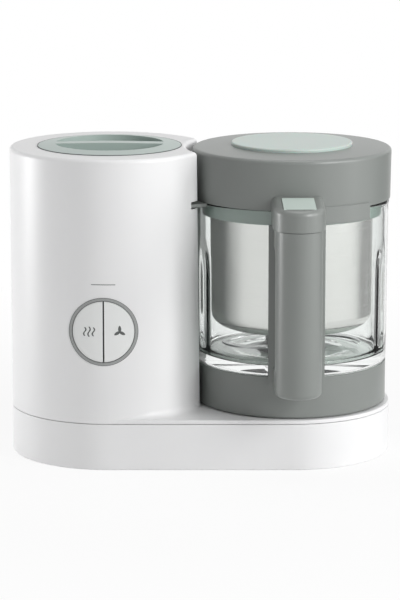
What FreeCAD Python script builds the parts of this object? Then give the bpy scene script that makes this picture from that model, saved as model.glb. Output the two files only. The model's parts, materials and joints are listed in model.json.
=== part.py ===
"""A baby food maker: a white tower with a water boiler and a motor stands beside a glass blending jar.

+X points from the tower to the jar, +Y to the rear and +Z up. The origin is on the table, under the middle
of the whole machine. Millimetres and degrees throughout.
"""

import FreeCAD, Part
import Sketcher
import math
import os
import re

# Driving sizes. Heights called "level" are measured from the table.
SIZES = {
    # Base and clearances
    "axis_distance": 146.0,
    "end_radius": 80.0,
    "base_height": 37.3,
    "base_edge": 0.6,
    "skirt_lift": 0.2,
    "skirt_edge": 1.2,
    "wall": 2.6,
    "running_gap": 0.3,
    "shaft_gap": 0.05,
    "seat_gap": 0.1,
    "parting_gap": 0.6,
    # Floor plate, feet and fasteners
    "plate_level": 3.0,
    "plate_thick": 2.5,
    "foot_radius": 8.0,
    "foot_inset": 11.9,
    "foot_angle": 49.8,
    "boss_radius": 4.0,
    "corner_boss_inset": 11.7,
    "corner_boss_angle": 31.8,
    "boss_inset": 14.0,
    "screw_radius": 1.5,
    "screw_head_radius": 3.0,
    "screw_head": 1.8,
    "plate_screw_length": 14.0,
    "screw_tip_room": 1.0,
    "vent_length": 24.0,
    "vent_width": 3.0,
    "vent_pitch": 8.0,
    "vents_each_side": 2,
    # Cord gland in the rear wall of the base
    "gland_place": 40.0,
    "gland_level": 20.0,
    "gland_radius": 6.0,
    "gland_flange": 8.5,
    "gland_flange_thick": 3.0,
    "cord_bore": 3.6,
    # Tower, moulded in one with the platform under the jar
    "tower_height": 209.9,
    "tower_edge": 3.0,
    "platform_thick": 2.9,
    "platform_edge": 1.0,
    "top_thick": 3.0,
    "recess_low": 80.8,
    "recess_high": 84.8,
    "tower_opening": 54.0,
    "spigot_depth": 2.2,
    "spigot_wall": 2.4,
    "tower_screw_ring": 66.0,
    "tower_screw_length": 5.4,
    # Water boiler
    "tank_radius": 50.0,
    "tank_wall": 2.0,
    "tank_depth": 75.8,
    "tank_flange_radius": 66.0,
    "tank_flange": 2.5,
    "tank_corner": 10.0,
    "heater_ring": 34.0,
    "heater_radius": 4.2,
    "heater_pin_length": 12.0,
    "heater_pin_radius": 2.1,
    "heater_pin_place": 8.4,
    "thermostat_radius": 9.0,
    "thermostat_height": 8.0,
    "thermostat_tag": 3.0,
    "nozzle_rise": 20.6,
    "nozzle_radius": 6.0,
    "nozzle_bore": 3.5,
    "nozzle_seal_radius": 9.0,
    # Tank lid
    "tank_lid_radius": 57.5,
    "tank_lid_gap": 0.5,
    "tank_lid_rise": 0.6,
    "tank_lid_crown": 2.2,
    "tank_lid_shoulder": 1.5,
    "tank_lid_edge": 0.9,
    "well_radius": 43.5,
    "finger_bar": 12.0,
    "well_depth": 8.8,
    "tank_plug_radius": 46.0,
    "tank_plug_depth": 15.8,
    "tank_plug_wall": 3.0,
    "tank_plug_web": 2.5,
    "tank_seal_depth": 11.8,
    "tank_seal_height": 5.0,
    # Control on the front of the tower
    "control_shift": 3.1,
    "control_rise": 74.1,
    "bezel_radius": 27.0,
    "bezel_inner": 24.5,
    "bezel_proud": 0.3,
    "button_split": 1.2,
    "button_inset": 10.0,
    "button_travel": 2.0,
    "stem_radius": 4.0,
    "stem_place": 11.0,
    "guide_inset": 14.0,
    "guide_thick": 3.5,
    "guide_radius": 31.0,
    "board_gap": 6.5,
    "board_width": 54.0,
    "board_height": 40.0,
    "board_thick": 1.6,
    "post_radius": 2.5,
    "post_out": 22.0,
    "post_up": 15.0,
    "switch_size": 6.2,
    "button_spring_radius": 6.0,
    "button_wire": 0.7,
    "button_spring_turns": 3,
    # Interlock finger in the corner of the tower
    "finger_azimuth": 203.0,
    "finger_inner": 78.9,
    "finger_reach": 94.0,
    "finger_thick": 2.4,
    "finger_front": 10.5,
    "finger_back": 10.0,
    "finger_travel": 1.2,
    "notch_head": 2.0,
    "finger_stem_height": 6.0,
    "finger_stem_size": 5.0,
    "finger_stem_place": 89.5,
    "micro_switch_width": 10.2,
    "micro_switch_length": 12.0,
    "micro_switch_height": 14.0,
    # Motor and belt drive
    "mount_radius": 60.0,
    "mount_thick": 2.5,
    "mount_bore": 12.0,
    "motor_radius": 31.0,
    "motor_height": 62.0,
    "motor_wall": 2.5,
    "motor_screw_ring": 22.0,
    "motor_screw_length": 4.6,
    "motor_shaft_radius": 4.0,
    "rotor_radius": 24.0,
    "rotor_margin": 6.0,
    "rotor_slots": 8,
    "rotor_slot_width": 2.6,
    "rotor_slot_depth": 6.0,
    "fan_radius": 25.0,
    "fan_height": 8.0,
    "fan_hub": 9.0,
    "fan_blades": 7,
    "fan_blade_thick": 1.6,
    "drive_pulley_radius": 10.0,
    "driven_pulley_radius": 30.0,
    "pulley_level": 9.0,
    "belt_width": 9.0,
    "pulley_flange": 1.4,
    "pulley_flange_rise": 3.0,
    "belt_thick": 1.6,
    "spindle_radius": 5.0,
    "bearing_radius": 9.0,
    "bearing_width": 5.0,
    "housing_wall": 2.5,
    "housing_flange": 20.0,
    "housing_flange_thick": 2.5,
    "coupling_radius": 14.0,
    "coupling_plate": 4.0,
    "dog_height": 6.0,
    "dog_inner": 7.0,
    "dog_angle": 50.0,
    # Glass jar
    "jar_radius_low": 77.0,
    "jar_radius_high": 78.2,
    "jar_rim_radius": 78.4,
    "jar_rim_height": 3.2,
    "glass_wall": 4.2,
    "glass_floor": 7.5,
    "jar_edge": 2.0,
    "rib_drop": 41.8,
    "rib_top_depth": 2.5,
    "rib_foot_depth": 5.0,
    "rib_width": 9.0,
    "rib_root": 1.4,
    # Jar collar and foot
    "collar_radius": 76.7,
    "collar_lift": 0.4,
    "collar_height": 33.4,
    "collar_edge": 2.0,
    "collar_wall": 4.5,
    "collar_plate": 4.0,
    "gasket_thick": 2.0,
    "gasket_inner": 56.0,
    "gasket_outer": 70.0,
    "foot_ring_inner": 60.0,
    "foot_ring_outer": 70.0,
    "foot_ring_height": 3.6,
    "foot_ring_rail": 3.0,
    # Blade unit
    "blade_shaft_radius": 4.0,
    "seat_tube_radius": 14.0,
    "seat_flange_radius": 29.0,
    "seat_top_radius": 21.5,
    "seat_height": 4.5,
    "seat_nut_radius": 24.0,
    "seat_nut_height": 5.0,
    "blade_thick": 1.6,
    "blade_reach": 56.0,
    "blade_width": 9.0,
    "blade_ring": 15.0,
    "hub_radius": 20.5,
    "hub_height": 8.6,
    "hub_crown": 11.0,
    "hub_shoulder": 4.0,
    "hub_edge": 2.0,
    "hub_socket": 4.3,
    # Handle
    "handle_turn": 1.4,
    "handle_reach": 126.0,
    "grip_width": 36.6,
    "grip_depth": 18.0,
    "grip_drop": 9.5,
    "grip_hang": 7.4,
    "grip_arm": 17.0,
    "grip_edge": 4.0,
    "finger_corner": 9.0,
    "spine_inner": 78.8,
    "spine_thick": 4.4,
    "spine_angle": 31.0,
    "spine_drop": 1.3,
    "spine_hang": 2.0,
    "spine_foot_height": 9.0,
    "handle_screw_length": 9.0,
    "handle_screw_inset": 9.0,
    # Steel basket and its carrying ring
    "basket_radius": 65.2,
    "basket_wall": 0.8,
    "basket_clearance": 5.9,
    "basket_corner": 13.0,
    "basket_lip": 70.0,
    "basket_hole_radius": 2.2,
    "basket_hole_step": 12.0,
    "basket_hole_rings": 3,
    "basket_first_ring": 6,
    "ring_depth": 11.8,
    "ring_flange_radius": 76.1,
    "ring_flange": 1.5,
    # Jar lid
    "lid_radius_low": 79.1,
    "lid_radius_high": 79.7,
    "lid_height": 39.7,
    "lid_drop": 0.7,
    "lid_wall": 2.6,
    "lid_crown": 1.5,
    "lid_edge": 3.0,
    "disc_radius": 48.4,
    "disc_rise": 2.6,
    "disc_edge": 1.2,
    "disc_seat": 2.4,
    "disc_plug": 3.0,
    "skirt_drop": 10.4,
    "skirt_outer": 80.2,
    "skirt_inner": 78.8,
    "skirt_start": 15.4,
    "skirt_end": 47.0,
    "skirt_root": 3.0,
    "lid_seal_inner": 66.0,
    "lid_seal_outer": 74.0,
    "lid_seal_height": 2.6,
    "liner_thick": 2.0,
    "liner_tube_radius": 43.0,
    "liner_hole_radius": 2.0,
    "liner_hole_ring": 28.0,
    "liner_holes": 12,
    # Lid nose over the handle and its push button
    "nose_width": 40.2,
    "nose_back_rise": 11.5,
    "nose_front_rise": 7.5,
    "nose_gap": 0.4,
    "nose_edge": 4.5,
    "nose_floor": 3.7,
    "push_width": 25.0,
    "push_back": 84.0,
    "push_front": 118.0,
    "push_skirt": 9.0,
    "push_proud": 0.4,
    "push_spring_radius": 5.0,
    "push_wire": 0.8,
    "push_spring_turns": 3,
}

doc = FreeCAD.newDocument("baby_food_maker")
sheet = doc.addObject("Spreadsheet::Sheet", "sizes")
for row, (alias, size) in enumerate(SIZES.items(), start=1):
    sheet.set(f"A{row}", alias)
    sheet.set(f"B{row}", str(size))
    sheet.setAlias(f"B{row}", alias)
doc.recompute()

# Heights and depths that follow from the driving sizes, by name
DERIVED = {
    "tower_low": "base_height + parting_gap",
    "tower_top": "tower_low + tower_height",
    "platform_top": "tower_low + platform_thick",
    "control_level": "tower_low + control_rise",
    "guide_front": "end_radius - guide_inset",
    "button_back": "end_radius - button_inset",
    "tank_floor_level": "tower_top - tank_depth",
    "tank_plug_level": "tower_top - tank_plug_depth",
    "tank_seal_level": "tower_top - tank_seal_depth",
    "well_floor_level": "tower_top - well_depth",
    "collar_level": "platform_top + collar_lift",
    "jar_foot_level": "collar_level + collar_height",
    "lid_top_level": "tower_top - lid_drop",
    "lid_low_level": "lid_top_level - lid_height",
    "jar_rim_level": "lid_low_level - parting_gap",
    "nozzle_level": "lid_low_level + nozzle_rise",
    "rib_level": "jar_rim_level - rib_drop",
    "ring_low_level": "jar_rim_level - ring_depth",
    "skirt_low_level": "lid_low_level - skirt_drop",
    "nose_back_level": "lid_low_level + nose_back_rise",
    "nose_front_level": "lid_low_level + nose_front_rise",
    "grip_top_level": "lid_low_level - grip_drop",
    "grip_low_level": "jar_foot_level - grip_hang",
    "spine_top_level": "grip_top_level - spine_drop",
    "spine_low_level": "grip_low_level - spine_hang",
}

# Levels and places written into other expressions
HALF = "(axis_distance / 2)"
MIDDLE_Y = "((handle_reach - end_radius) / 2)"
BASE_TOP_UNDER = "(base_height - wall)"
PLATE_TOP = "(plate_level + plate_thick)"
TOP_UNDER = "(tower_top - top_thick)"
TANK_LID_EDGE = "(tower_top + tank_lid_rise)"
PULLEY_TOP = "(pulley_level + belt_width + 2 * pulley_flange)"
MOTOR_TOP = f"({BASE_TOP_UNDER} + motor_height)"
COUPLING_LOW = "(platform_top + parting_gap)"
DOG_LOW = f"({COUPLING_LOW} + coupling_plate)"
DOG_TOP = f"({DOG_LOW} + dog_height)"
COLLAR_TOP = "(jar_foot_level - gasket_thick)"
GLASS_FLOOR_TOP = "(jar_foot_level + glass_floor)"
SEAT_TOP = f"({GLASS_FLOOR_TOP} + seat_height)"
BLADE_LEVEL = f"({SEAT_TOP} + running_gap)"
HUB_LOW = f"({BLADE_LEVEL} + blade_thick)"
HUB_TOP = f"({HUB_LOW} + hub_height)"
BASKET_LOW = f"({HUB_TOP} + basket_clearance)"
RING_FLANGE_LOW = "(jar_rim_level + running_gap)"
LIP_LEVEL = f"({RING_FLANGE_LOW} + ring_flange)"
LIP_TOP = f"({LIP_LEVEL} + basket_wall)"
LID_SEAL_LOW = f"({LIP_TOP} + running_gap)"
LINER_LOW = f"({LID_SEAL_LOW} + lid_seal_height + running_gap)"
LID_UNDER = "(lid_top_level - lid_wall)"
FINGER_TOP = "(lid_low_level - running_gap)"
FINGER_LOW = f"({FINGER_TOP} - finger_thick)"
NOTCH_LOW = f"({FINGER_LOW} - finger_travel - running_gap)"
NOTCH_TOP = f"({FINGER_TOP} + notch_head)"
NOSE_LOW = "(grip_top_level + nose_gap)"
NOSE_SLOPE = "((nose_back_level - nose_front_level) / (handle_reach - lid_radius_low))"
GUIDE_BACK = "(guide_front - guide_thick)"
BOARD_FRONT = f"({GUIDE_BACK} - board_gap)"
STEM_END = f"({GUIDE_BACK} - seat_gap)"

# Each assembly is drawn about its own upright axis: its place along X and its turn about that axis.
FRAMES = {
    "machine": ("0", "0"),
    "tower": (f"-{HALF}", "0"),
    "jar": (HALF, "0"),
    "handle": (HALF, "handle_turn"),
    "finger": (HALF, "finger_azimuth"),
}

# How near to a level an edge must lie to be picked
TOUCH = 0.001

ALIAS_WORD = re.compile(r"[a-z]+(?:_[a-z]+)*")
SUBPARTS = []


def bound(text):
    """The expression with each size's name pointed at its cell and each derived name written out."""
    def cell(word):
        name = word[0]
        if name in DERIVED:
            return f"({bound(DERIVED[name])})"
        return f"sizes.{name}" if name in SIZES else name

    return ALIAS_WORD.sub(cell, str(text))


def number(text):
    """What an expression of sizes comes to."""
    return float(sheet.evalExpression(bound(text)))


def bind(thing, **sizes):
    for name, text in sizes.items():
        thing.setExpression(name, bound(text))
    return thing


def put(thing, x, y, z):
    for name, text in zip("xyz", (x, y, z)):
        thing.setExpression(f"Placement.Base.{name}", bound(text))
    return thing


def subpart(label, thing, frame, lift="0"):
    """Gives a finished solid its name and its place in the machine."""
    along, turn = FRAMES[frame]
    thing.Label = label
    put(thing, along, MIDDLE_Y, lift)
    thing.Placement.Rotation = FreeCAD.Rotation(FreeCAD.Vector(0, 0, 1), 0)
    if turn != "0":
        thing.setExpression("Placement.Rotation.Angle", bound(turn))
    SUBPARTS.append(thing)
    return thing


TURNS = {
    "z": FreeCAD.Rotation(),
    "y": FreeCAD.Rotation(FreeCAD.Vector(1, 0, 0), -90),
    "x": FreeCAD.Rotation(FreeCAD.Vector(0, 1, 0), 90),
}


def cylinder(radius, height, x="0", y="0", z="0", along="z"):
    thing = bind(doc.addObject("Part::Cylinder", "cylinder"), Radius=radius, Height=height)
    thing.Placement.Rotation = TURNS[along]
    return put(thing, x, y, z)


def cone(radius_low, radius_high, height, z="0", x="0"):
    thing = doc.addObject("Part::Cone", "cone")
    bind(thing, Radius1=radius_low, Radius2=radius_high, Height=height)
    return put(thing, x, "0", z)


def block(length, width, height, x="0", y="0", z="0"):
    """A box centred on x and y that stands on z."""
    thing = bind(doc.addObject("Part::Box", "block"), Length=length, Width=width, Height=height)
    return put(thing, f"{x} - ({length}) / 2", f"{y} - ({width}) / 2", z)


def fuse(*things):
    thing = doc.addObject("Part::MultiFuse", "fuse")
    thing.Shapes = list(things)
    thing.Refine = True
    return thing


def common(*things):
    thing = doc.addObject("Part::MultiCommon", "common")
    thing.Shapes = list(things)
    return thing


def cut(base, *tools):
    thing = doc.addObject("Part::Cut", "cut")
    thing.Base = base
    thing.Tool = tools[0] if len(tools) == 1 else fuse(*tools)
    return thing


def group(*things):
    thing = doc.addObject("Part::Compound", "group")
    thing.Links = list(things)
    return thing


def turned(thing, angle, x="0", y="0"):
    """A copy of a solid turned about the upright line through x, y."""
    copy = doc.addObject("Part::Compound", "turned")
    copy.Links = [thing]
    copy.Placement.Rotation = FreeCAD.Rotation(FreeCAD.Vector(0, 0, 1), 0)
    copy.setExpression("Placement.Rotation.Angle", bound(angle))
    return put(copy, x, y, "0")


def tube(outer, inner, height, x="0", y="0", z="0", along="z"):
    return cut(cylinder(outer, height, x, y, z, along), cylinder(inner, height, x, y, z, along))


def rounded(thing, radius, wanted):
    """Rounds the edges that the test picks."""
    doc.recompute()
    size = number(radius)
    fillet = doc.addObject("Part::Fillet", "rounded")
    fillet.Base = thing
    edges = enumerate(thing.Shape.Edges, start=1)
    fillet.Edges = [(place, size, size) for place, edge in edges if wanted(edge)]
    return fillet


def level_edge(level):
    """Picks edges that lie flat at one height."""
    height = number(level)
    return lambda edge: max(abs(edge.BoundBox.ZMin - height), abs(edge.BoundBox.ZMax - height)) < TOUCH


def outer_level_edge(level, radius):
    """Picks flat edges at one height that reach out at least as far as the radius."""
    flat = level_edge(level)
    reach = number(radius) - TOUCH
    return lambda edge: flat(edge) and math.hypot(*edge.Vertexes[0].Point[:2]) > reach


def outline(body, plane, corners):
    """A closed sketch of straight lines whose corners are held by expressions."""
    sketch = body.newObject("Sketcher::SketchObject", "outline")
    sketch.AttachmentSupport = [(next(f for f in body.Origin.OriginFeatures if f.Role == plane), "")]
    sketch.MapMode = "FlatFace"
    places = [FreeCAD.Vector(number(across), number(up), 0) for across, up in corners]
    for start, end in zip(places, places[1:] + places[:1]):
        sketch.addGeometry(Part.LineSegment(start, end))
    for index, corner in enumerate(corners):
        before = (index - 1) % len(corners)
        sketch.addConstraint(Sketcher.Constraint("Coincident", before, 2, index, 1))
        for kind, text in zip(("DistanceX", "DistanceY"), corner):
            held = sketch.addConstraint(Sketcher.Constraint(kind, -1, 1, index, 1, number(text)))
            sketch.setExpression(f"Constraints[{held}]", bound(text))
    return sketch


def revolved(corners, angle="360"):
    """A body turned about the upright axis from a half section of (radius, height) corners."""
    body = doc.addObject("PartDesign::Body", "revolved")
    sketch = outline(body, "XZ_Plane", corners)
    turn = body.newObject("PartDesign::Revolution", "turn")
    turn.Profile = sketch
    turn.ReferenceAxis = (sketch, ["V_Axis"])
    turn.setExpression("Angle", bound(angle))
    turn.Midplane = angle != "360"
    return body


def padded(plane, corners, width):
    """A body padded both ways from an outline in one of the main planes."""
    body = doc.addObject("PartDesign::Body", "padded")
    sketch = outline(body, plane, corners)
    pad = body.newObject("PartDesign::Pad", "pad")
    pad.Profile = sketch
    pad.SideType = "Symmetric"
    pad.setExpression("Length", bound(width))
    return body


def stadium(radius, height, z):
    """The base's outline: two round ends about the tower and jar axes, joined by straight sides."""
    ends = [cylinder(radius, height, x, "0", z) for x in (f"-{HALF}", HALF)]
    return fuse(block("axis_distance", f"2 * ({radius})", height, z=z), *ends)


def screw(shank, x="0", y="0", z="0"):
    """A pan head screw that points up, its head's top face at z."""
    head = cylinder("screw_head_radius", "screw_head", x, y, f"{z} - screw_head")
    return fuse(head, cylinder("screw_radius", shank, x, y, z))


def arc_from(start, along, end):
    """The arc that leaves start in the given direction and ends at end."""
    chord = end - start
    inward = along.cross(chord).cross(along).normalize()
    centre = start + inward * (chord.dot(chord) / (2 * chord.dot(inward)))
    outward = ((start + end) * 0.5 - centre).normalize()
    return Part.Arc(start, centre + outward * (start - centre).Length, end).toShape()


def coil(label, frame, radius, wire, turns, length, place, along):
    """A compression spring: a wire swept along pairs of arcs, one pair for each half turn of a helix."""
    spring_radius = number(radius)
    wire_radius = number(wire) / 2
    half_turns = 2 * int(number(turns))
    rise = (number(length) - 2 * wire_radius) / half_turns

    def point(step):
        angle = math.pi * step
        height = wire_radius + rise * step
        return FreeCAD.Vector(spring_radius * math.cos(angle), spring_radius * math.sin(angle), height)

    def heading(step):
        angle = math.pi * step
        across = FreeCAD.Vector(-math.sin(angle), math.cos(angle), 0) * spring_radius
        return (across + FreeCAD.Vector(0, 0, rise / math.pi)).normalize()

    arcs = []
    for step in range(half_turns):
        start, end = point(step), point(step + 1)
        leave, arrive = heading(step), heading(step + 1)
        chord = end - start
        spread = 2 * (1 - leave.dot(arrive))
        slope = 2 * chord.dot(leave + arrive)
        reach = (math.sqrt(slope**2 + 4 * spread * chord.dot(chord)) - slope) / (2 * spread)
        first = start + leave * reach
        second = end - arrive * reach
        joint = (first + second) * 0.5
        arcs += [arc_from(start, leave, joint), arc_from(joint, (second - first).normalize(), end)]
    path = Part.Wire(arcs)
    section = Part.Wire([Part.Circle(point(0), heading(0), wire_radius).toShape()])
    shape = path.makePipeShell([section], True, False)
    shape.Placement = FreeCAD.Placement(FreeCAD.Vector(*map(number, place)), TURNS[along])
    raw = doc.addObject("Part::Feature", "coil")
    raw.Shape = shape
    return subpart(label, group(raw), frame)


def corner_places(inset, angle):
    """Four places in the round ends, a little inside the outline, at an angle to the long axis."""
    out = f"({HALF} + (end_radius - {inset}) * cos({angle}))"
    side = f"((end_radius - {inset}) * sin({angle}))"
    return [(f"{end} * {out}", f"{half} * {side}") for end in (1, -1) for half in (1, -1)]


BOSSES = [("0", f"{side} * (end_radius - boss_inset)") for side in (1, -1)]
BOSSES += corner_places("corner_boss_inset", "corner_boss_angle")
TOWER_SCREWS = [("-tower_screw_ring", "0")]
TOWER_SCREWS += [("0", f"{side} * tower_screw_ring") for side in (1, -1)]
QUARTERS = ("45", "135", "225", "315")
SPINDLE_HOLE = "(bearing_radius + housing_wall + seat_gap)"


def recess(extra="0"):
    """The hollow about the jar, in the tower's frame, wider towards the top."""
    low = f"recess_low + {extra}"
    high = f"recess_high + {extra}"
    return cone(low, high, "tower_height", "tower_low", "axis_distance")


def make_base():
    """The base: cover, floor plate, feet, screws and the cord gland."""
    body = stadium("end_radius", "base_height - skirt_lift", "skirt_lift")
    body = rounded(body, "base_edge", level_edge("base_height"))
    body = rounded(body, "skirt_edge", level_edge("skirt_lift"))
    hollow = stadium("end_radius - wall", f"{BASE_TOP_UNDER} - skirt_lift", "skirt_lift")
    shell = cut(body, hollow)
    posts = [cylinder("boss_radius", f"{BASE_TOP_UNDER} - {PLATE_TOP}", x, y, PLATE_TOP) for x, y in BOSSES]
    shell = fuse(shell, *posts)
    pilots = [
        cylinder("screw_radius + seat_gap", "plate_screw_length + screw_tip_room", x, y, PLATE_TOP)
        for x, y in BOSSES
    ]
    tower_holes = [
        cylinder("screw_radius + seat_gap", "2 * wall", f"-{HALF} + {x}", y, f"{BASE_TOP_UNDER} - wall / 2")
        for x, y in TOWER_SCREWS
    ]
    hole_low = f"{BASE_TOP_UNDER} - wall / 2"
    opening = cylinder("tower_opening + seat_gap", "2 * wall", f"-{HALF}", "0", hole_low)
    spindle_hole = cylinder(SPINDLE_HOLE, "2 * wall", HALF, "0", hole_low)
    gland_hole = cylinder("gland_radius", "2 * wall", "-gland_place", "end_radius - 1.5 * wall",
                          "gland_level", along="y")
    shell = cut(shell, *pilots, *tower_holes, opening, spindle_hole, gland_hole)
    subpart("base_cover", shell, "machine")

    plate = stadium("end_radius - wall - seat_gap", "plate_thick", "plate_level")
    holes = [cylinder("screw_radius + seat_gap", "plate_thick", x, y, "plate_level") for x, y in BOSSES]
    each_side = int(number("vents_each_side"))
    vents = [
        block("vent_width", "vent_length", "plate_thick", f"-{HALF} + {step} * vent_pitch", z="plate_level")
        for step in range(-each_side, each_side + 1)
    ]
    subpart("base_plate", cut(plate, *holes, *vents), "machine")

    feet = [
        cylinder("foot_radius", "plate_level", x, y) for x, y in corner_places("foot_inset", "foot_angle")
    ]
    subpart("rubber_feet", group(*feet), "machine")
    screws = [screw("plate_screw_length", x, y, "plate_level") for x, y in BOSSES]
    subpart("plate_screws", group(*screws), "machine")

    stem = cylinder("gland_radius - seat_gap", "wall", "-gland_place", "end_radius - wall",
                    "gland_level", along="y")
    flange = cylinder("gland_flange", "gland_flange_thick", "-gland_place",
                      "end_radius - wall - gland_flange_thick", "gland_level", along="y")
    bore = cylinder("cord_bore", "wall + gland_flange_thick", "-gland_place",
                    "end_radius - wall - gland_flange_thick", "gland_level", along="y")
    subpart("cord_gland", cut(fuse(stem, flange), bore), "machine")


def make_tower():
    """The tower's casing and, in one with it, the platform that the jar stands on."""
    blank = cut(cylinder("end_radius", "tower_height", z="tower_low"), recess())
    top_edge = level_edge("tower_top")
    tall = number("tower_height - tower_edge")
    blank = rounded(blank, "tower_edge", lambda edge: top_edge(edge) or edge.BoundBox.ZLength > tall)
    room = cylinder("end_radius - wall", f"{TOP_UNDER} - platform_top", z="platform_top")
    cavity = cut(room, recess("wall"))
    casing = cut(blank, cavity)
    platform = fuse(
        block("axis_distance", "2 * end_radius", "platform_thick", "axis_distance / 2", "0", "tower_low"),
        *[cylinder("end_radius", "platform_thick", x, "0", "tower_low") for x in ("0", "axis_distance")],
    )
    platform = rounded(platform, "platform_edge", level_edge("platform_top"))
    spigot = tube("tower_opening", "tower_opening - spigot_wall", "spigot_depth + parting_gap",
                  z="base_height - spigot_depth")
    casing = fuse(casing, platform, spigot)
    floor_hole = cylinder("tower_opening - spigot_wall", "platform_thick", z="tower_low")
    spindle_hole = cylinder(SPINDLE_HOLE, "platform_thick", "axis_distance", "0", "tower_low")
    lid_hole = cylinder("tank_lid_radius + tank_lid_gap", "2 * top_thick", z=f"{TOP_UNDER} - top_thick / 2")
    control_hole = cylinder("bezel_radius + seat_gap", "end_radius - guide_front + wall", "-control_shift",
                            "-end_radius - wall", "control_level", along="y")
    screw_holes = [
        cylinder("screw_radius + seat_gap", "platform_thick", x, y, "tower_low") for x, y in TOWER_SCREWS
    ]
    reach = "axis_distance - recess_low"
    nozzle_hole = cylinder("nozzle_radius + seat_gap", reach, z="nozzle_level", along="x")
    casing = cut(casing, floor_hole, spindle_hole, lid_hole, control_hole, nozzle_hole, make_notch(),
                 *screw_holes)
    subpart("tower_shell", casing, "tower")
    screws = [screw("tower_screw_length", x, y, BASE_TOP_UNDER) for x, y in TOWER_SCREWS]
    subpart("tower_screws", group(*screws), "tower")


def finger_sector(inner, outer, low, high, margin="0"):
    """A flat piece of a ring about the jar axis, as wide as the interlock finger, in the finger's frame."""
    ring = tube(outer, inner, f"{high} - {low}", z=low)
    width = f"(finger_front + finger_back + 2 * {margin})"
    strip = block(outer, width, f"{high} - {low}", f"({outer}) / 2", "(finger_front - finger_back) / 2", low)
    return common(ring, strip)


def make_notch():
    """The slot in the tower's front corner, moved from the finger's frame to the tower's."""
    outer = "finger_reach + running_gap"
    slot = finger_sector("recess_low - wall", outer, NOTCH_LOW, NOTCH_TOP, "running_gap")
    return turned(slot, "finger_azimuth", "axis_distance")


def make_boiler():
    """The water boiler under the tank lid, with its heater and the steam nozzle to the jar lid."""
    outer = "(tank_radius + tank_wall)"
    flange_low = f"({TOP_UNDER} - tank_flange)"
    floor = "(tank_floor_level + tank_wall)"
    bowl = revolved([
        ("0", "tank_floor_level"), (f"{outer} - tank_corner", "tank_floor_level"),
        (outer, "tank_floor_level + tank_corner"), (outer, flange_low), ("tank_flange_radius", flange_low),
        ("tank_flange_radius", TOP_UNDER), ("tank_radius", TOP_UNDER),
        ("tank_radius", f"{floor} + tank_corner"), ("tank_radius - tank_corner", floor), ("0", floor),
    ])
    nozzle_hole = cylinder("nozzle_radius + seat_gap", outer, z="nozzle_level", along="x")
    tank = cut(bowl, recess("wall + seat_gap"), nozzle_hole)
    subpart("water_tank", tank, "tower")

    heater_low = "(tank_floor_level - seat_gap - 2 * heater_radius)"
    heater = tube("heater_ring + heater_radius", "heater_ring - heater_radius", "2 * heater_radius",
                  z=heater_low)
    pins = [
        cylinder("heater_pin_radius", "heater_pin_length + heater_radius", f"{side} * heater_pin_place",
                 "heater_ring", f"{heater_low} - heater_pin_length")
        for side in (1, -1)
    ]
    subpart("heating_element", fuse(heater, *pins), "tower")
    body = cylinder("thermostat_radius", "thermostat_height", z="tank_floor_level - thermostat_height")
    tag = block("thermostat_radius", "thermostat_tag", "thermostat_height",
                z="tank_floor_level - 2 * thermostat_height")
    subpart("thermostat", fuse(body, tag), "tower")

    tip = "(axis_distance - lid_radius_high - 2 * running_gap)"
    start = "(tank_radius + seat_gap)"
    pipe = tube("nozzle_radius", "nozzle_bore", f"{tip} - {start}", start, "0", "nozzle_level", "x")
    subpart("steam_nozzle", pipe, "tower")
    room = f"(axis_distance - recess_high - wall - {outer})"
    seal = tube("nozzle_seal_radius", "nozzle_radius + seat_gap", room, outer, "0", "nozzle_level", "x")
    tank_side = cylinder(outer, "2 * nozzle_seal_radius", z="nozzle_level - nozzle_seal_radius")
    subpart("nozzle_seal", cut(seal, tank_side), "tower")


def make_tank_lid():
    """The tank lid, a crowned cap with two finger wells, and the silicone ring round its plug."""
    rim_low = f"({TOP_UNDER} + running_gap)"
    crown = f"({TANK_LID_EDGE} + tank_lid_crown)"
    shoulder = f"({TANK_LID_EDGE} + tank_lid_shoulder)"
    plug_inner = "(tank_plug_radius - tank_plug_wall)"
    cap = revolved([
        ("0", "well_floor_level - tank_plug_web"), (plug_inner, "well_floor_level - tank_plug_web"),
        (plug_inner, "tank_plug_level"), ("tank_plug_radius", "tank_plug_level"),
        ("tank_plug_radius", rim_low), ("tank_lid_radius", rim_low), ("tank_lid_radius", TANK_LID_EDGE),
        ("well_radius", shoulder), ("0", crown),
    ])
    cap = rounded(cap, "tank_lid_edge", outer_level_edge(TANK_LID_EDGE, "tank_lid_radius"))
    depth = f"{crown} - well_floor_level"
    well = cylinder("well_radius", depth, z="well_floor_level")
    bar = block("2 * well_radius", "finger_bar", depth, z="well_floor_level")
    subpart("tank_lid", cut(cap, cut(well, bar)), "tower")
    seal = tube("tank_radius - running_gap", "tank_plug_radius + running_gap", "tank_seal_height",
                z="tank_seal_level")
    subpart("tank_seal", seal, "tower")


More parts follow.
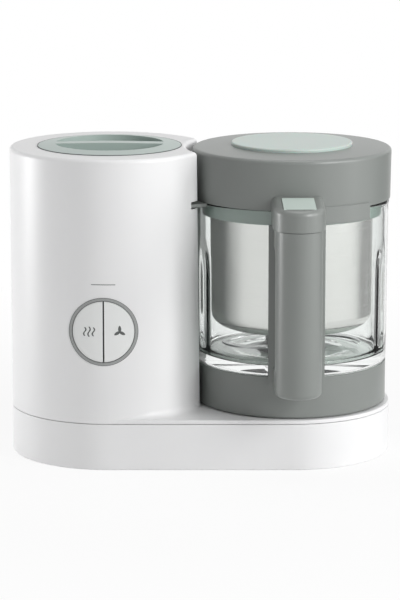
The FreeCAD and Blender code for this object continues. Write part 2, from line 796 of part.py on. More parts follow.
def make_control():
    """The round control: a grey bezel, two half round buttons, their springs, guide, board and switches."""
    centre = "-control_shift"
    depth = "end_radius + wall - guide_front"
    sleeve = tube("bezel_radius", "bezel_inner", depth, centre, "-end_radius - wall", "control_level", "y")
    face = cylinder("end_radius + bezel_proud", "4 * bezel_radius", z="control_level - 2 * bezel_radius")
    subpart("control_bezel", common(sleeve, face), "tower")

    disc_depth = "end_radius + wall - button_back"
    stem_length = f"button_back - {STEM_END}"
    for label, side in (("steam_button", "-1"), ("blend_button", "1")):
        disc = cylinder("bezel_inner - running_gap", disc_depth, centre, "-end_radius - wall",
                        "control_level", along="y")
        half_x = f"{centre} + {side} * (bezel_inner + button_split) / 2"
        half = block("bezel_inner", "4 * end_radius", "2 * bezel_inner", half_x,
                     z="control_level - bezel_inner")
        front = cylinder("end_radius", "4 * bezel_radius", z="control_level - 2 * bezel_radius")
        cap = common(disc, half, front)
        stem_x = f"{centre} + {side} * stem_place"
        stem = cylinder("stem_radius", stem_length, stem_x, "-button_back", "control_level", along="y")
        subpart(label, fuse(cap, stem), "tower")
        spring_length = "button_back - guide_front - seat_gap"
        coil(f"{label}_spring", "tower", "button_spring_radius", "button_wire", "button_spring_turns",
             spring_length, (stem_x, "-button_back + seat_gap / 2", "control_level"), "y")

    plate = cylinder("guide_radius", "guide_thick", centre, "-guide_front", "control_level", along="y")
    posts = [
        cylinder("post_radius", "board_gap", f"{centre} + {side} * post_out", f"-{GUIDE_BACK}",
                 f"control_level + {up} * post_up", along="y")
        for side in (1, -1) for up in (1, -1)
    ]
    bores = [
        cylinder("stem_radius + running_gap", "guide_thick", f"{centre} + {side} * stem_place",
                 "-guide_front", "control_level", along="y")
        for side in (1, -1)
    ]
    subpart("button_guide", cut(fuse(plate, *posts), *bores), "tower")
    board = block("board_width", "board_thick", "board_height", centre, f"-{BOARD_FRONT} + board_thick / 2",
                  "control_level - board_height / 2")
    subpart("control_board", group(board), "tower")
    switch_depth = "(board_gap - button_travel - 2 * running_gap)"
    switches = [
        block("switch_size", switch_depth, "switch_size", f"{centre} + {side} * stem_place",
              f"-{BOARD_FRONT} - {switch_depth} / 2", "control_level - switch_size / 2")
        for side in (1, -1)
    ]
    subpart("key_switches", group(*switches), "tower")


def make_interlock():
    """The sprung finger in the tower's corner that feels the lid's edge, and the switch below its stem."""
    blade = finger_sector("finger_inner", "finger_reach", FINGER_LOW, FINGER_TOP)
    stem_place = "-finger_back + finger_stem_size"
    stem = block("finger_stem_size", "finger_stem_size", "finger_stem_height", "finger_stem_place",
                 stem_place, f"{FINGER_LOW} - finger_stem_height")
    subpart("interlock_finger", fuse(blade, stem), "finger")
    top = f"({FINGER_LOW} - finger_stem_height - finger_travel - running_gap)"
    switch = block("micro_switch_width", "micro_switch_length", "micro_switch_height",
                   "finger_stem_place", stem_place, f"{top} - micro_switch_height")
    wall_side = cone("recess_low + wall", "recess_high + wall", "tower_height", "tower_low")
    subpart("interlock_switch", cut(switch, wall_side), "finger")


def make_motor():
    """The motor on its steel mount in the foot of the tower, with rotor, fan and belt pulley."""
    mount = tube("mount_radius", "mount_bore", "mount_thick", z=f"{BASE_TOP_UNDER} - mount_thick")
    fixing = screw("motor_screw_length", "motor_screw_ring", "0", f"{BASE_TOP_UNDER} - mount_thick")
    screws = [turned(fixing, angle) for angle in QUARTERS]
    hole = cylinder("screw_radius + seat_gap", "2 * motor_wall + mount_thick", "motor_screw_ring", "0",
                    f"{BASE_TOP_UNDER} - mount_thick")
    holes = [turned(hole, angle) for angle in QUARTERS]
    subpart("motor_mount", cut(mount, *holes), "tower")
    subpart("motor_screws", group(*screws), "tower")
    can = cut(
        cylinder("motor_radius", "motor_height", z=BASE_TOP_UNDER),
        cylinder("motor_radius - motor_wall", "motor_height - 2 * motor_wall",
                 z=f"{BASE_TOP_UNDER} + motor_wall"),
        cylinder("motor_shaft_radius + shaft_gap", "motor_height", z=BASE_TOP_UNDER),
        *holes,
    )
    subpart("motor_case", can, "tower")

    shaft_low = "(pulley_level - pulley_flange)"
    shaft_top = f"({MOTOR_TOP} + running_gap + fan_height)"
    shaft = cylinder("motor_shaft_radius", f"{shaft_top} - {shaft_low}", z=shaft_low)
    subpart("motor_shaft", group(shaft), "tower")
    core_low = f"({BASE_TOP_UNDER} + motor_wall + rotor_margin)"
    core_height = "motor_height - 2 * motor_wall - 2 * rotor_margin"
    core = tube("rotor_radius", "motor_shaft_radius", core_height, z=core_low)
    slot = block("2 * rotor_slot_depth", "rotor_slot_width", core_height, "rotor_radius", "0", core_low)
    slots = [turned(slot, f"{step} * 360 / rotor_slots") for step in range(int(number("rotor_slots")))]
    subpart("rotor_core", cut(core, *slots), "tower")
    subpart("drive_pulley", pulley("drive_pulley_radius", "motor_shaft_radius"), "tower")

    fan_low = f"({MOTOR_TOP} + running_gap)"
    vane_x = "(fan_radius + fan_hub / 2) / 2"
    vane = block("fan_radius - fan_hub / 2", "fan_blade_thick", "fan_height", vane_x, z=fan_low)
    vanes = [turned(vane, f"{step} * 360 / fan_blades") for step in range(int(number("fan_blades")))]
    plate = cylinder("fan_radius", "fan_blade_thick", z=fan_low)
    hub = cylinder("fan_hub", "fan_height", z=fan_low)
    bore = cylinder("motor_shaft_radius", "fan_height", z=fan_low)
    subpart("cooling_fan", cut(fuse(hub, plate, *vanes), bore), "tower")


def pulley(radius, bore):
    """A flanged belt pulley."""
    rim = f"{radius} + pulley_flange_rise"
    wheel = fuse(
        cylinder(radius, "belt_width + 2 * pulley_flange", z="pulley_level"),
        cylinder(rim, "pulley_flange", z="pulley_level"),
        cylinder(rim, "pulley_flange", z="pulley_level + pulley_flange + belt_width"),
    )
    return cut(wheel, cylinder(bore, "belt_width + 2 * pulley_flange", z="pulley_level"))


def belt_loop(extra):
    """The solid inside a belt that is held off both pulleys: two discs and the wedge between tangents."""
    low = "(pulley_level + pulley_flange + running_gap)"
    height = "(belt_width - 2 * running_gap)"
    lean = "((driven_pulley_radius - drive_pulley_radius) / axis_distance)"
    rise = f"sqrt(1 - {lean} * {lean})"
    ends = [(f"-{HALF}", f"(drive_pulley_radius + {extra})"), (HALF, f"(driven_pulley_radius + {extra})")]
    discs = [cylinder(radius, height, x, "0", low) for x, radius in ends]
    corners = [(f"{x} - {radius} * {lean}", f"{radius} * {rise}") for x, radius in ends]
    corners += [(f"{x} - {radius} * {lean}", f"-{radius} * {rise}") for x, radius in reversed(ends)]
    wedge = put(padded("XY_Plane", corners, height), "0", "0", f"{low} + {height} / 2")
    return fuse(wedge, *discs)


def make_drive():
    """The belt, and the spindle that brings the drive up under the jar."""
    belt = cut(belt_loop("running_gap + belt_thick"), belt_loop("running_gap"))
    subpart("drive_belt", belt, "machine")

    tube_radius = "(bearing_radius + housing_wall)"
    tube_low = f"({PULLEY_TOP} + running_gap)"
    sleeve = cylinder(tube_radius, f"platform_top - {tube_low}", z=tube_low)
    flange = cylinder("housing_flange", "housing_flange_thick", z=f"{BASE_TOP_UNDER} - housing_flange_thick")
    bore = cylinder("bearing_radius", f"platform_top - {tube_low}", z=tube_low)
    subpart("spindle_housing", cut(fuse(sleeve, flange), bore), "jar")
    bearing_levels = (tube_low, "(platform_top - bearing_width)")
    rings = [
        tube("bearing_radius - shaft_gap", "spindle_radius + shaft_gap", "bearing_width", z=level)
        for level in bearing_levels
    ]
    subpart("spindle_bearings", group(*rings), "jar")

    spindle = cylinder("spindle_radius", f"{DOG_LOW} - pulley_level", z="pulley_level")
    subpart("drive_spindle", group(spindle), "jar")
    subpart("driven_pulley", pulley("driven_pulley_radius", "spindle_radius"), "jar")
    plate = tube("coupling_radius", "spindle_radius", "coupling_plate", z=COUPLING_LOW)
    subpart("drive_coupling", fuse(plate, *dogs(DOG_LOW, "0")), "jar")


def dogs(low, start):
    """Two claws of a claw coupling, a half turn apart."""
    claw = revolved([
        ("dog_inner", "0"), ("coupling_radius", "0"), ("coupling_radius", "dog_height"),
        ("dog_inner", "dog_height"),
    ], "dog_angle")
    put(claw, "0", "0", low)
    return [turned(claw, f"{start} + {half}") for half in ("0", "180")]


def make_jar():
    """The glass jar on its grey collar, with gasket, foot ring and blade seat."""
    inner_low = "(jar_radius_low - glass_wall)"
    inner_high = "(jar_radius_high - glass_wall)"
    rim_low = "(jar_rim_level - jar_rim_height)"
    wall = revolved([
        ("seat_tube_radius + seat_gap", "jar_foot_level"), ("jar_radius_low", "jar_foot_level"),
        ("jar_radius_high", rim_low), ("jar_rim_radius", rim_low), ("jar_rim_radius", "jar_rim_level"),
        (inner_high, "jar_rim_level"), (inner_low, GLASS_FLOOR_TOP),
        ("seat_tube_radius + seat_gap", GLASS_FLOOR_TOP),
    ])
    wall = rounded(wall, "jar_edge", outer_level_edge("jar_foot_level", "jar_radius_low"))
    rib = padded("YZ_Plane", [
        (f"-{inner_low} - rib_root", GLASS_FLOOR_TOP), (f"rib_foot_depth - {inner_low}", GLASS_FLOOR_TOP),
        (f"rib_top_depth - {inner_low}", "rib_level"), (f"-{inner_low} - rib_root", "rib_level + rib_width"),
    ], "rib_width")
    ribs = [turned(rib, angle) for angle in ("0", "90", "180", "270")]
    subpart("glass_jar", fuse(wall, *ribs), "handle")

    plate_low = f"({COLLAR_TOP} - collar_plate)"
    ring_inner = "(foot_ring_inner - running_gap)"
    ring_outer = "(foot_ring_outer + running_gap)"
    rail_low = "(platform_top + foot_ring_height + 2 * running_gap)"
    rim_top = "(jar_foot_level - seat_gap)"
    collar = revolved([
        ("seat_tube_radius + seat_gap", plate_low), (f"{ring_inner} - foot_ring_rail", plate_low),
        (f"{ring_inner} - foot_ring_rail", "collar_level"), (ring_inner, "collar_level"),
        (ring_inner, rail_low), (ring_outer, rail_low), (ring_outer, "collar_level"),
        ("collar_radius", "collar_level"), ("collar_radius", rim_top),
        ("collar_radius - collar_wall", rim_top), ("collar_radius - collar_wall", COLLAR_TOP),
        ("seat_tube_radius + seat_gap", COLLAR_TOP),
    ])
    collar = rounded(collar, "collar_edge", outer_level_edge("collar_level", "collar_radius"))
    subpart("jar_collar", collar, "jar")
    subpart("jar_gasket", tube("gasket_outer", "gasket_inner", "gasket_thick", z=COLLAR_TOP), "jar")
    foot = tube("foot_ring_outer", "foot_ring_inner", "foot_ring_height", z="platform_top + running_gap")
    subpart("jar_foot_ring", foot, "jar")

    nut_low = f"({plate_low} - seat_nut_height)"
    seat = revolved([
        ("blade_shaft_radius + shaft_gap", nut_low), ("seat_tube_radius", nut_low),
        ("seat_tube_radius", GLASS_FLOOR_TOP), ("seat_flange_radius", GLASS_FLOOR_TOP),
        ("seat_top_radius", SEAT_TOP), ("blade_shaft_radius + shaft_gap", SEAT_TOP),
    ])
    subpart("blade_seat", seat, "jar")
    subpart("seat_nut", tube("seat_nut_radius", "seat_tube_radius", "seat_nut_height", z=nut_low), "jar")


def make_blades():
    """The blade unit: shaft, claw coupling, two curved blades and the hub that clamps them."""
    claw_plate_low = f"({DOG_TOP} + 2 * running_gap)"
    shaft = cylinder("blade_shaft_radius", f"{HUB_LOW} + hub_socket - {claw_plate_low}", z=claw_plate_low)
    subpart("blade_shaft", group(shaft), "jar")
    plate = tube("coupling_radius", "blade_shaft_radius", "coupling_plate", z=claw_plate_low)
    claws = dogs(f"{claw_plate_low} - dog_height", "90")
    subpart("blade_coupling", fuse(plate, *claws), "jar")

    bow = "(blade_reach / 2)"
    crescent = cut(
        cylinder(bow, "blade_thick", bow, "0", BLADE_LEVEL),
        cylinder(bow, "blade_thick", bow, "-blade_width", BLADE_LEVEL),
    )
    ring = cylinder("blade_ring", "blade_thick", z=BLADE_LEVEL)
    blades = fuse(ring, crescent, turned(crescent, "180"))
    bore = cylinder("blade_shaft_radius", "blade_thick", z=BLADE_LEVEL)
    subpart("chopping_blades", cut(blades, bore), "jar")
    hub = revolved([
        ("blade_shaft_radius", HUB_LOW), ("hub_radius", HUB_LOW), ("hub_radius", f"{HUB_LOW} + hub_shoulder"),
        ("hub_crown", HUB_TOP), ("0", HUB_TOP), ("0", f"{HUB_LOW} + hub_socket"),
        ("blade_shaft_radius", f"{HUB_LOW} + hub_socket"),
    ])
    hub = rounded(hub, "hub_edge", outer_level_edge(f"{HUB_LOW} + hub_shoulder", "hub_radius"))
    subpart("blade_hub", hub, "jar")


def make_handle():
    """The handle: a spine along the glass and a grip that closes the finger gap, screwed together."""
    spine_outer = "(spine_inner + spine_thick)"
    foot_top = "(spine_low_level + spine_foot_height)"
    spine = revolved([
        ("collar_radius", "spine_low_level"), (spine_outer, "spine_low_level"),
        (spine_outer, "spine_top_level"), ("spine_inner", "spine_top_level"), ("spine_inner", foot_top),
        ("collar_radius", foot_top),
    ], "spine_angle")
    front = "-handle_reach"
    back = "(grip_depth - handle_reach)"
    arm_low = "(grip_low_level + grip_arm)"
    arm_top = "(grip_top_level - grip_arm)"
    root = "-(spine_inner - 2 * spine_thick)"
    profile = padded("YZ_Plane", [
        (root, "grip_low_level"), (front, "grip_low_level"), (front, "grip_top_level"),
        (root, "grip_top_level"), (root, arm_top), (back, arm_top), (back, arm_low), (root, arm_low),
    ], "grip_width")
    profile = rounded(profile, "finger_corner", cross_edge(back, (arm_low, arm_top)))
    bar = round_front("grip_width", "grip_low_level", "grip_top_level - grip_low_level")
    grip = rounded(common(profile, bar), "grip_edge", grip_under_edge(root))
    clear = cylinder(spine_outer, "grip_top_level", z="0")
    grip = cut(grip, clear)
    levels = ("grip_top_level - handle_screw_inset", "grip_low_level + handle_screw_inset")
    screws = []
    holes = []
    for level in levels:
        head = cylinder("screw_head_radius", "screw_head", "0", "-spine_inner - screw_head", level, along="y")
        shank = cylinder("screw_radius", "handle_screw_length", "0",
                         "-spine_inner - screw_head - handle_screw_length", level, along="y")
        screws.append(fuse(head, shank))
        pocket = cylinder("screw_head_radius + seat_gap", "screw_head + seat_gap + spine_thick", "0",
                          "-spine_inner - screw_head - seat_gap", level, along="y")
        pilot = cylinder("screw_radius + seat_gap", "handle_screw_length + 2 * spine_thick", "0",
                         "-spine_inner - screw_head - handle_screw_length - seat_gap", level, along="y")
        holes.append(fuse(pocket, pilot))
    subpart("handle_spine", cut(turned(spine, "-90"), *holes), "handle")
    subpart("handle_grip", cut(grip, *holes), "handle")
    subpart("handle_screws", group(*screws), "handle")


def cross_edge(y, levels):
    """Picks edges across the handle at one depth and one of the heights."""
    depth = number(y)
    heights = [number(level) for level in levels]

    def wanted(edge):
        box = edge.BoundBox
        here = abs(box.YMin - depth) < TOUCH and abs(box.YMax - depth) < TOUCH and box.ZLength < TOUCH
        return here and any(abs(box.ZMin - height) < TOUCH for height in heights)

    return wanted


def round_front(width, low, height):
    """An upright bar from the jar axis to the handle's reach, with a half round front."""
    radius = f"({width} / 2)"
    length = f"(handle_reach - {radius})"
    front = cylinder(radius, height, "0", f"-{length}", low)
    return fuse(front, block(width, length, height, "0", f"-{length} / 2", low))


def grip_under_edge(root):
    """Picks the edges round the grip's underside, but not the one at its root."""
    flat = level_edge("grip_low_level")
    inner = number(root)
    return lambda edge: flat(edge) and edge.BoundBox.YMin < inner - TOUCH


def make_basket():
    """The steel steaming basket and the translucent ring that hangs it in the mouth of the jar."""
    inner = "(basket_radius - basket_wall)"
    floor = f"({BASKET_LOW} + basket_wall)"
    can = revolved([
        ("0", BASKET_LOW), ("basket_radius", BASKET_LOW), ("basket_radius", LIP_LEVEL),
        ("basket_lip", LIP_LEVEL), ("basket_lip", LIP_TOP), (inner, LIP_TOP), (inner, floor), ("0", floor),
    ])
    can = rounded(can, "basket_corner", outer_level_edge(BASKET_LOW, "basket_radius"))
    can = rounded(can, "basket_corner - basket_wall", outer_level_edge(floor, inner))
    holes = []
    for ring in range(1, int(number("basket_hole_rings")) + 1):
        hole = cylinder("basket_hole_radius", "3 * basket_wall", f"{ring} * basket_hole_step", "0",
                        f"{BASKET_LOW} - basket_wall")
        for step in range(ring * int(number("basket_first_ring"))):
            holes.append(turned(hole, f"{step} * 360 / ({ring} * basket_first_ring)"))
    subpart("steel_basket", cut(can, group(*holes)), "jar")
    outer = "(jar_radius_high - glass_wall - 2 * running_gap)"
    ring = revolved([
        ("basket_radius + seat_gap", "ring_low_level"), (f"{outer} - ring_flange", "ring_low_level"),
        (outer, RING_FLANGE_LOW), ("ring_flange_radius", RING_FLANGE_LOW), ("ring_flange_radius", LIP_LEVEL),
        ("basket_radius + seat_gap", LIP_LEVEL),
    ])
    subpart("basket_ring", ring, "jar")


def lid_wall_radius(level):
    """The lid's outer radius at a height, on the straight line from its low edge to its top edge."""
    lean = "(lid_radius_high - lid_radius_low) / (lid_top_level - lid_low_level)"
    return f"(lid_radius_low + ({level} - lid_low_level) * {lean})"


def make_lid():
    """The jar lid: shell, mint disc, inner liner with the steam duct, and the seal under it."""
    seat_level = "(lid_top_level + lid_crown - disc_seat)"
    opening = "(disc_radius - disc_seat)"
    shell = revolved([
        ("lid_radius_low", "lid_low_level"), ("lid_radius_high", "lid_top_level"),
        ("disc_radius + seat_gap", "lid_top_level + lid_crown"), ("disc_radius + seat_gap", seat_level),
        (opening, seat_level), (opening, LID_UNDER), ("lid_radius_high - lid_wall", LID_UNDER),
        ("lid_radius_low - lid_wall", "lid_low_level"),
    ])
    shell = rounded(shell, "lid_edge", outer_level_edge("lid_top_level", "lid_radius_high"))
    skirt = revolved([
        ("skirt_inner", "skirt_low_level"), ("skirt_outer", "skirt_low_level"),
        ("skirt_outer", "lid_low_level + skirt_root"), ("skirt_inner", "lid_low_level + skirt_root"),
    ], "skirt_end - skirt_start")
    skirt = turned(skirt, "(skirt_start + skirt_end) / 2 - 90")
    steam_hole = cylinder("nozzle_bore", "3 * lid_wall", "-lid_radius_high - lid_wall / 2", "0",
                          "nozzle_level", along="x")
    subpart("lid_shell", cut(fuse(shell, skirt), steam_hole), "handle")

    disc_top = "(lid_top_level + lid_crown + disc_rise)"
    disc = revolved([
        ("0", f"{seat_level} - disc_plug"), (f"{opening} - seat_gap", f"{seat_level} - disc_plug"),
        (f"{opening} - seat_gap", seat_level), ("disc_radius", seat_level), ("disc_radius", disc_top),
        ("0", disc_top),
    ])
    disc = rounded(disc, "disc_edge", outer_level_edge(disc_top, "disc_radius"))
    subpart("lid_disc", disc, "handle")

    liner_top = f"({LINER_LOW} + liner_thick)"
    tube_inner = "(liner_tube_radius - lid_wall)"
    liner = revolved([
        ("0", LINER_LOW), ("lid_radius_low - lid_wall - seat_gap", LINER_LOW),
        ("lid_radius_low - lid_wall - seat_gap", liner_top), ("liner_tube_radius", liner_top),
        ("liner_tube_radius", f"{seat_level} - disc_plug - seat_gap"),
        (tube_inner, f"{seat_level} - disc_plug - seat_gap"), (tube_inner, liner_top), ("0", liner_top),
    ])
    duct_hole = cylinder("nozzle_radius + seat_gap", "3 * lid_wall", "-liner_tube_radius - lid_wall / 2", "0",
                         "nozzle_level", along="x")
    hole = cylinder("liner_hole_radius", "liner_thick", "liner_hole_ring", "0", LINER_LOW)
    holes = [turned(hole, f"{step} * 360 / liner_holes") for step in range(int(number("liner_holes")))]
    subpart("lid_liner", cut(liner, duct_hole, *holes), "handle")
    reach = f"({lid_wall_radius('nozzle_level')} - lid_wall - seat_gap)"
    length = f"{reach} - {tube_inner}"
    duct = tube("nozzle_radius", "nozzle_bore", length, f"-{reach}", "0", "nozzle_level", "x")
    shell_radius = f"{lid_wall_radius('nozzle_level - nozzle_radius')} - lid_wall"
    bore_of_shell = cylinder(shell_radius, "4 * nozzle_radius", z="nozzle_level - 2 * nozzle_radius")
    subpart("steam_duct", common(duct, bore_of_shell), "handle")
    seal = tube("lid_seal_outer", "lid_seal_inner", "lid_seal_height", z=LID_SEAL_LOW)
    subpart("lid_seal", seal, "jar")


def nose_top(y, extra="0"):
    """The height of the nose's sloping top at a distance in front of the jar axis."""
    return f"(nose_back_level - ({y} - lid_radius_low) * {NOSE_SLOPE} + {extra})"


def make_nose():
    """The nose of the lid over the handle, with its push button and spring."""
    body = padded("YZ_Plane", [
        ("-(lid_radius_low - lid_wall)", NOSE_LOW), ("-handle_reach", NOSE_LOW),
        ("-handle_reach", "nose_front_level"),
        ("-(lid_radius_low - lid_wall)", nose_top("lid_radius_low - lid_wall")),
    ], "nose_width")
    bar = round_front("nose_width", NOSE_LOW, f"nose_back_level - {NOSE_LOW} + nose_edge")
    body = rounded(common(body, bar), "nose_edge", nose_edge)
    lid_side = cone(lid_wall_radius(NOSE_LOW), "lid_radius_high", f"lid_top_level - {NOSE_LOW}", NOSE_LOW)
    middle = "-(push_front + push_back) / 2"
    floor = f"({NOSE_LOW} + nose_floor)"
    well = block("push_width + 2 * running_gap", "push_front - push_back + 2 * running_gap",
                 f"nose_back_level - {floor} + nose_edge", "0", middle, floor)
    subpart("latch_housing", cut(body, lid_side, well), "handle")

    skirt_low = f"({nose_top('push_front')} - push_skirt)"
    cap = padded("YZ_Plane", [
        ("-push_front", skirt_low), ("-push_front", nose_top("push_front", "push_proud")),
        ("-push_back", nose_top("push_back", "push_proud")), ("-push_back", skirt_low),
    ], "push_width")
    subpart("lid_button", cap, "handle")
    coil("lid_button_spring", "handle", "push_spring_radius", "push_wire", "push_spring_turns",
         f"{skirt_low} - {floor} - seat_gap", ("0", middle, f"{floor} + seat_gap / 2"), "z")


def nose_edge(edge):
    """Picks the nose's upper edges, but none of its flat back, which the lid's wall replaces."""
    box = edge.BoundBox
    on_back = box.YMin > number("-(lid_radius_low - lid_wall)") - TOUCH
    upper = box.ZMin > number(NOSE_LOW) + TOUCH
    return upper and not on_back


def write_parts():
    """Checks every object and writes each sub-part to its own file."""
    doc.recompute()
    failed = [thing.Label for thing in doc.Objects if {"Invalid", "Error"} & set(thing.State)]
    broken = [
        thing.Label for thing in SUBPARTS
        if thing.Shape.isNull() or not thing.Shape.isValid() or not thing.Shape.Solids
    ]
    if failed or broken:
        raise RuntimeError(f"failed: {failed}, broken: {broken}")
    os.makedirs("parts", exist_ok=True)
    for thing in SUBPARTS:
        thing.Shape.exportStep(f"parts/{thing.Label}.step")
    print(len(SUBPARTS), "sub-parts written")


make_base()
make_tower()
make_boiler()
make_tank_lid()
make_control()
make_interlock()
make_motor()
make_drive()
make_jar()
make_blades()
make_handle()
make_basket()
make_lid()
make_nose()
write_parts()
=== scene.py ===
"""Looks for the baby food maker: finishes, the pressed glass jar, springs, marks, lights and camera."""

import json
import math

import bmesh
import bpy
from mathutils import Matrix, Vector

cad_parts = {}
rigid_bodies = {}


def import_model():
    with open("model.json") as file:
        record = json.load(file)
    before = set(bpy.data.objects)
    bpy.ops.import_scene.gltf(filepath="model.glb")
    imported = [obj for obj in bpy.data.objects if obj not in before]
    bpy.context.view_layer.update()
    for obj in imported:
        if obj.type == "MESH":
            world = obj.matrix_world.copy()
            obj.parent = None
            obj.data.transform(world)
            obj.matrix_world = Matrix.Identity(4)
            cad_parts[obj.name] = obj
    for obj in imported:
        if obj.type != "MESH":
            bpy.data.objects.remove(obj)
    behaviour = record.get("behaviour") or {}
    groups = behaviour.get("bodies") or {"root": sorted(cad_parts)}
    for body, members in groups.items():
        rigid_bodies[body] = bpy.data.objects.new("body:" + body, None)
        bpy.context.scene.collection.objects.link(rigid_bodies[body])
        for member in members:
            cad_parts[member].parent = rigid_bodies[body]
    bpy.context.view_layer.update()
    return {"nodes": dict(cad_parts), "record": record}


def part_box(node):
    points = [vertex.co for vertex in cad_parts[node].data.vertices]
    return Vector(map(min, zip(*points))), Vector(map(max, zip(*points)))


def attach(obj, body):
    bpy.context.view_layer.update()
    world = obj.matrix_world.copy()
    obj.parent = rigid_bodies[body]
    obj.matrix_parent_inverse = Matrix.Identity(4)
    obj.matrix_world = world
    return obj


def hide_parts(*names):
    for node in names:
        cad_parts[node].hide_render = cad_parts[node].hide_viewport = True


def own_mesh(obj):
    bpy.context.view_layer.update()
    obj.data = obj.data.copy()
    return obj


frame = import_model()

MM = 0.001
NODES = frame["nodes"]

# Upright axes of the tower and the jar, from the round ends of the shell
SHELL_LOW, SHELL_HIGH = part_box("tower_shell")
TOWER_RADIUS = (SHELL_HIGH[1] - SHELL_LOW[1]) / 2
MIDDLE_Y = (SHELL_LOW[1] + SHELL_HIGH[1]) / 2
TOWER_X = SHELL_LOW[0] + TOWER_RADIUS
JAR_X = SHELL_HIGH[0] - TOWER_RADIUS

# Angle past which an edge stays sharp, and distance within which two corners are one
SHARP_EDGE = math.radians(32.0)
SAME_PLACE = 0.001 * MM


def srgb(red, green, blue):
    """A colour written as display values from 0 to 255."""
    def linear(value):
        share = value / 255.0
        return share / 12.92 if share <= 0.04045 else ((share + 0.055) / 1.055) ** 2.4
    return (linear(red), linear(green), linear(blue), 1.0)


def group_with(name, inputs, outputs):
    """An empty shader node group with named sockets."""
    group = bpy.data.node_groups.new(name, "ShaderNodeTree")
    for label, kind, value in inputs:
        socket = group.interface.new_socket(label, in_out="INPUT", socket_type=kind)
        socket.default_value = value
    for label, kind in outputs:
        group.interface.new_socket(label, in_out="OUTPUT", socket_type=kind)
    start = group.nodes.new("NodeGroupInput")
    end = group.nodes.new("NodeGroupOutput")
    return group, start, end


COLOUR = "NodeSocketColor"
FLOAT = "NodeSocketFloat"

# Places of the colour sockets on a mix node
MIX_FIRST = 6
MIX_SECOND = 7
MIX_RESULT = 2


def make_moulded_grain():
    """Fine spark texture of moulded plastic: slight cloudiness, uneven sheen and a soft grain."""
    group, start, end = group_with(
        "moulded_grain",
        [("Colour", COLOUR, (0.8, 0.8, 0.8, 1)), ("Shade", COLOUR, (0.7, 0.7, 0.7, 1)),
         ("Grain", FLOAT, 1400.0), ("Rough Low", FLOAT, 0.4), ("Rough High", FLOAT, 0.5)],
        [("Colour", COLOUR), ("Roughness", FLOAT), ("Height", FLOAT)],
    )
    nodes, links = group.nodes, group.links
    place = nodes.new("ShaderNodeTexCoord")
    cloud = nodes.new("ShaderNodeTexNoise")
    cloud.inputs["Scale"].default_value = 14.0
    cloud.inputs["Detail"].default_value = 3.0
    grain = nodes.new("ShaderNodeTexNoise")
    grain.inputs["Detail"].default_value = 2.0
    tint = nodes.new("ShaderNodeMix")
    tint.data_type = "RGBA"
    rough = nodes.new("ShaderNodeMapRange")
    links.new(place.outputs["Object"], cloud.inputs["Vector"])
    links.new(place.outputs["Object"], grain.inputs["Vector"])
    links.new(start.outputs["Grain"], grain.inputs["Scale"])
    links.new(cloud.outputs["Fac"], tint.inputs["Factor"])
    links.new(start.outputs["Colour"], tint.inputs[MIX_FIRST])
    links.new(start.outputs["Shade"], tint.inputs[MIX_SECOND])
    links.new(grain.outputs["Fac"], rough.inputs["Value"])
    links.new(start.outputs["Rough Low"], rough.inputs["To Min"])
    links.new(start.outputs["Rough High"], rough.inputs["To Max"])
    links.new(tint.outputs[MIX_RESULT], end.inputs["Colour"])
    links.new(rough.outputs["Result"], end.inputs["Roughness"])
    links.new(grain.outputs["Fac"], end.inputs["Height"])
    return group


def make_brushed_lines():
    """Fine level scratches of a part that was brushed while it turned about an upright axis."""
    group, start, end = group_with(
        "brushed_lines",
        [("Colour", COLOUR, (0.7, 0.7, 0.7, 1)), ("Shade", COLOUR, (0.5, 0.5, 0.5, 1)),
         ("Rough Low", FLOAT, 0.2), ("Rough High", FLOAT, 0.4)],
        [("Colour", COLOUR), ("Roughness", FLOAT), ("Height", FLOAT)],
    )
    nodes, links = group.nodes, group.links
    place = nodes.new("ShaderNodeTexCoord")
    stretch = nodes.new("ShaderNodeMapping")
    stretch.inputs["Scale"].default_value = (9.0, 9.0, 4200.0)
    lines = nodes.new("ShaderNodeTexNoise")
    lines.inputs["Scale"].default_value = 1.0
    lines.inputs["Detail"].default_value = 4.0
    tint = nodes.new("ShaderNodeMix")
    tint.data_type = "RGBA"
    rough = nodes.new("ShaderNodeMapRange")
    links.new(place.outputs["Object"], stretch.inputs["Vector"])
    links.new(stretch.outputs["Vector"], lines.inputs["Vector"])
    links.new(lines.outputs["Fac"], tint.inputs["Factor"])
    links.new(start.outputs["Colour"], tint.inputs[MIX_FIRST])
    links.new(start.outputs["Shade"], tint.inputs[MIX_SECOND])
    links.new(lines.outputs["Fac"], rough.inputs["Value"])
    links.new(start.outputs["Rough Low"], rough.inputs["To Min"])
    links.new(start.outputs["Rough High"], rough.inputs["To Max"])
    links.new(tint.outputs[MIX_RESULT], end.inputs["Colour"])
    links.new(rough.outputs["Result"], end.inputs["Roughness"])
    links.new(lines.outputs["Fac"], end.inputs["Height"])
    return group


# Depth of the bump that goes with each texture
GRAIN_DEPTH = 0.1 * MM
SCRATCH_DEPTH = 0.02 * MM
MOULDED_GRAIN = make_moulded_grain()
BRUSHED_LINES = make_brushed_lines()


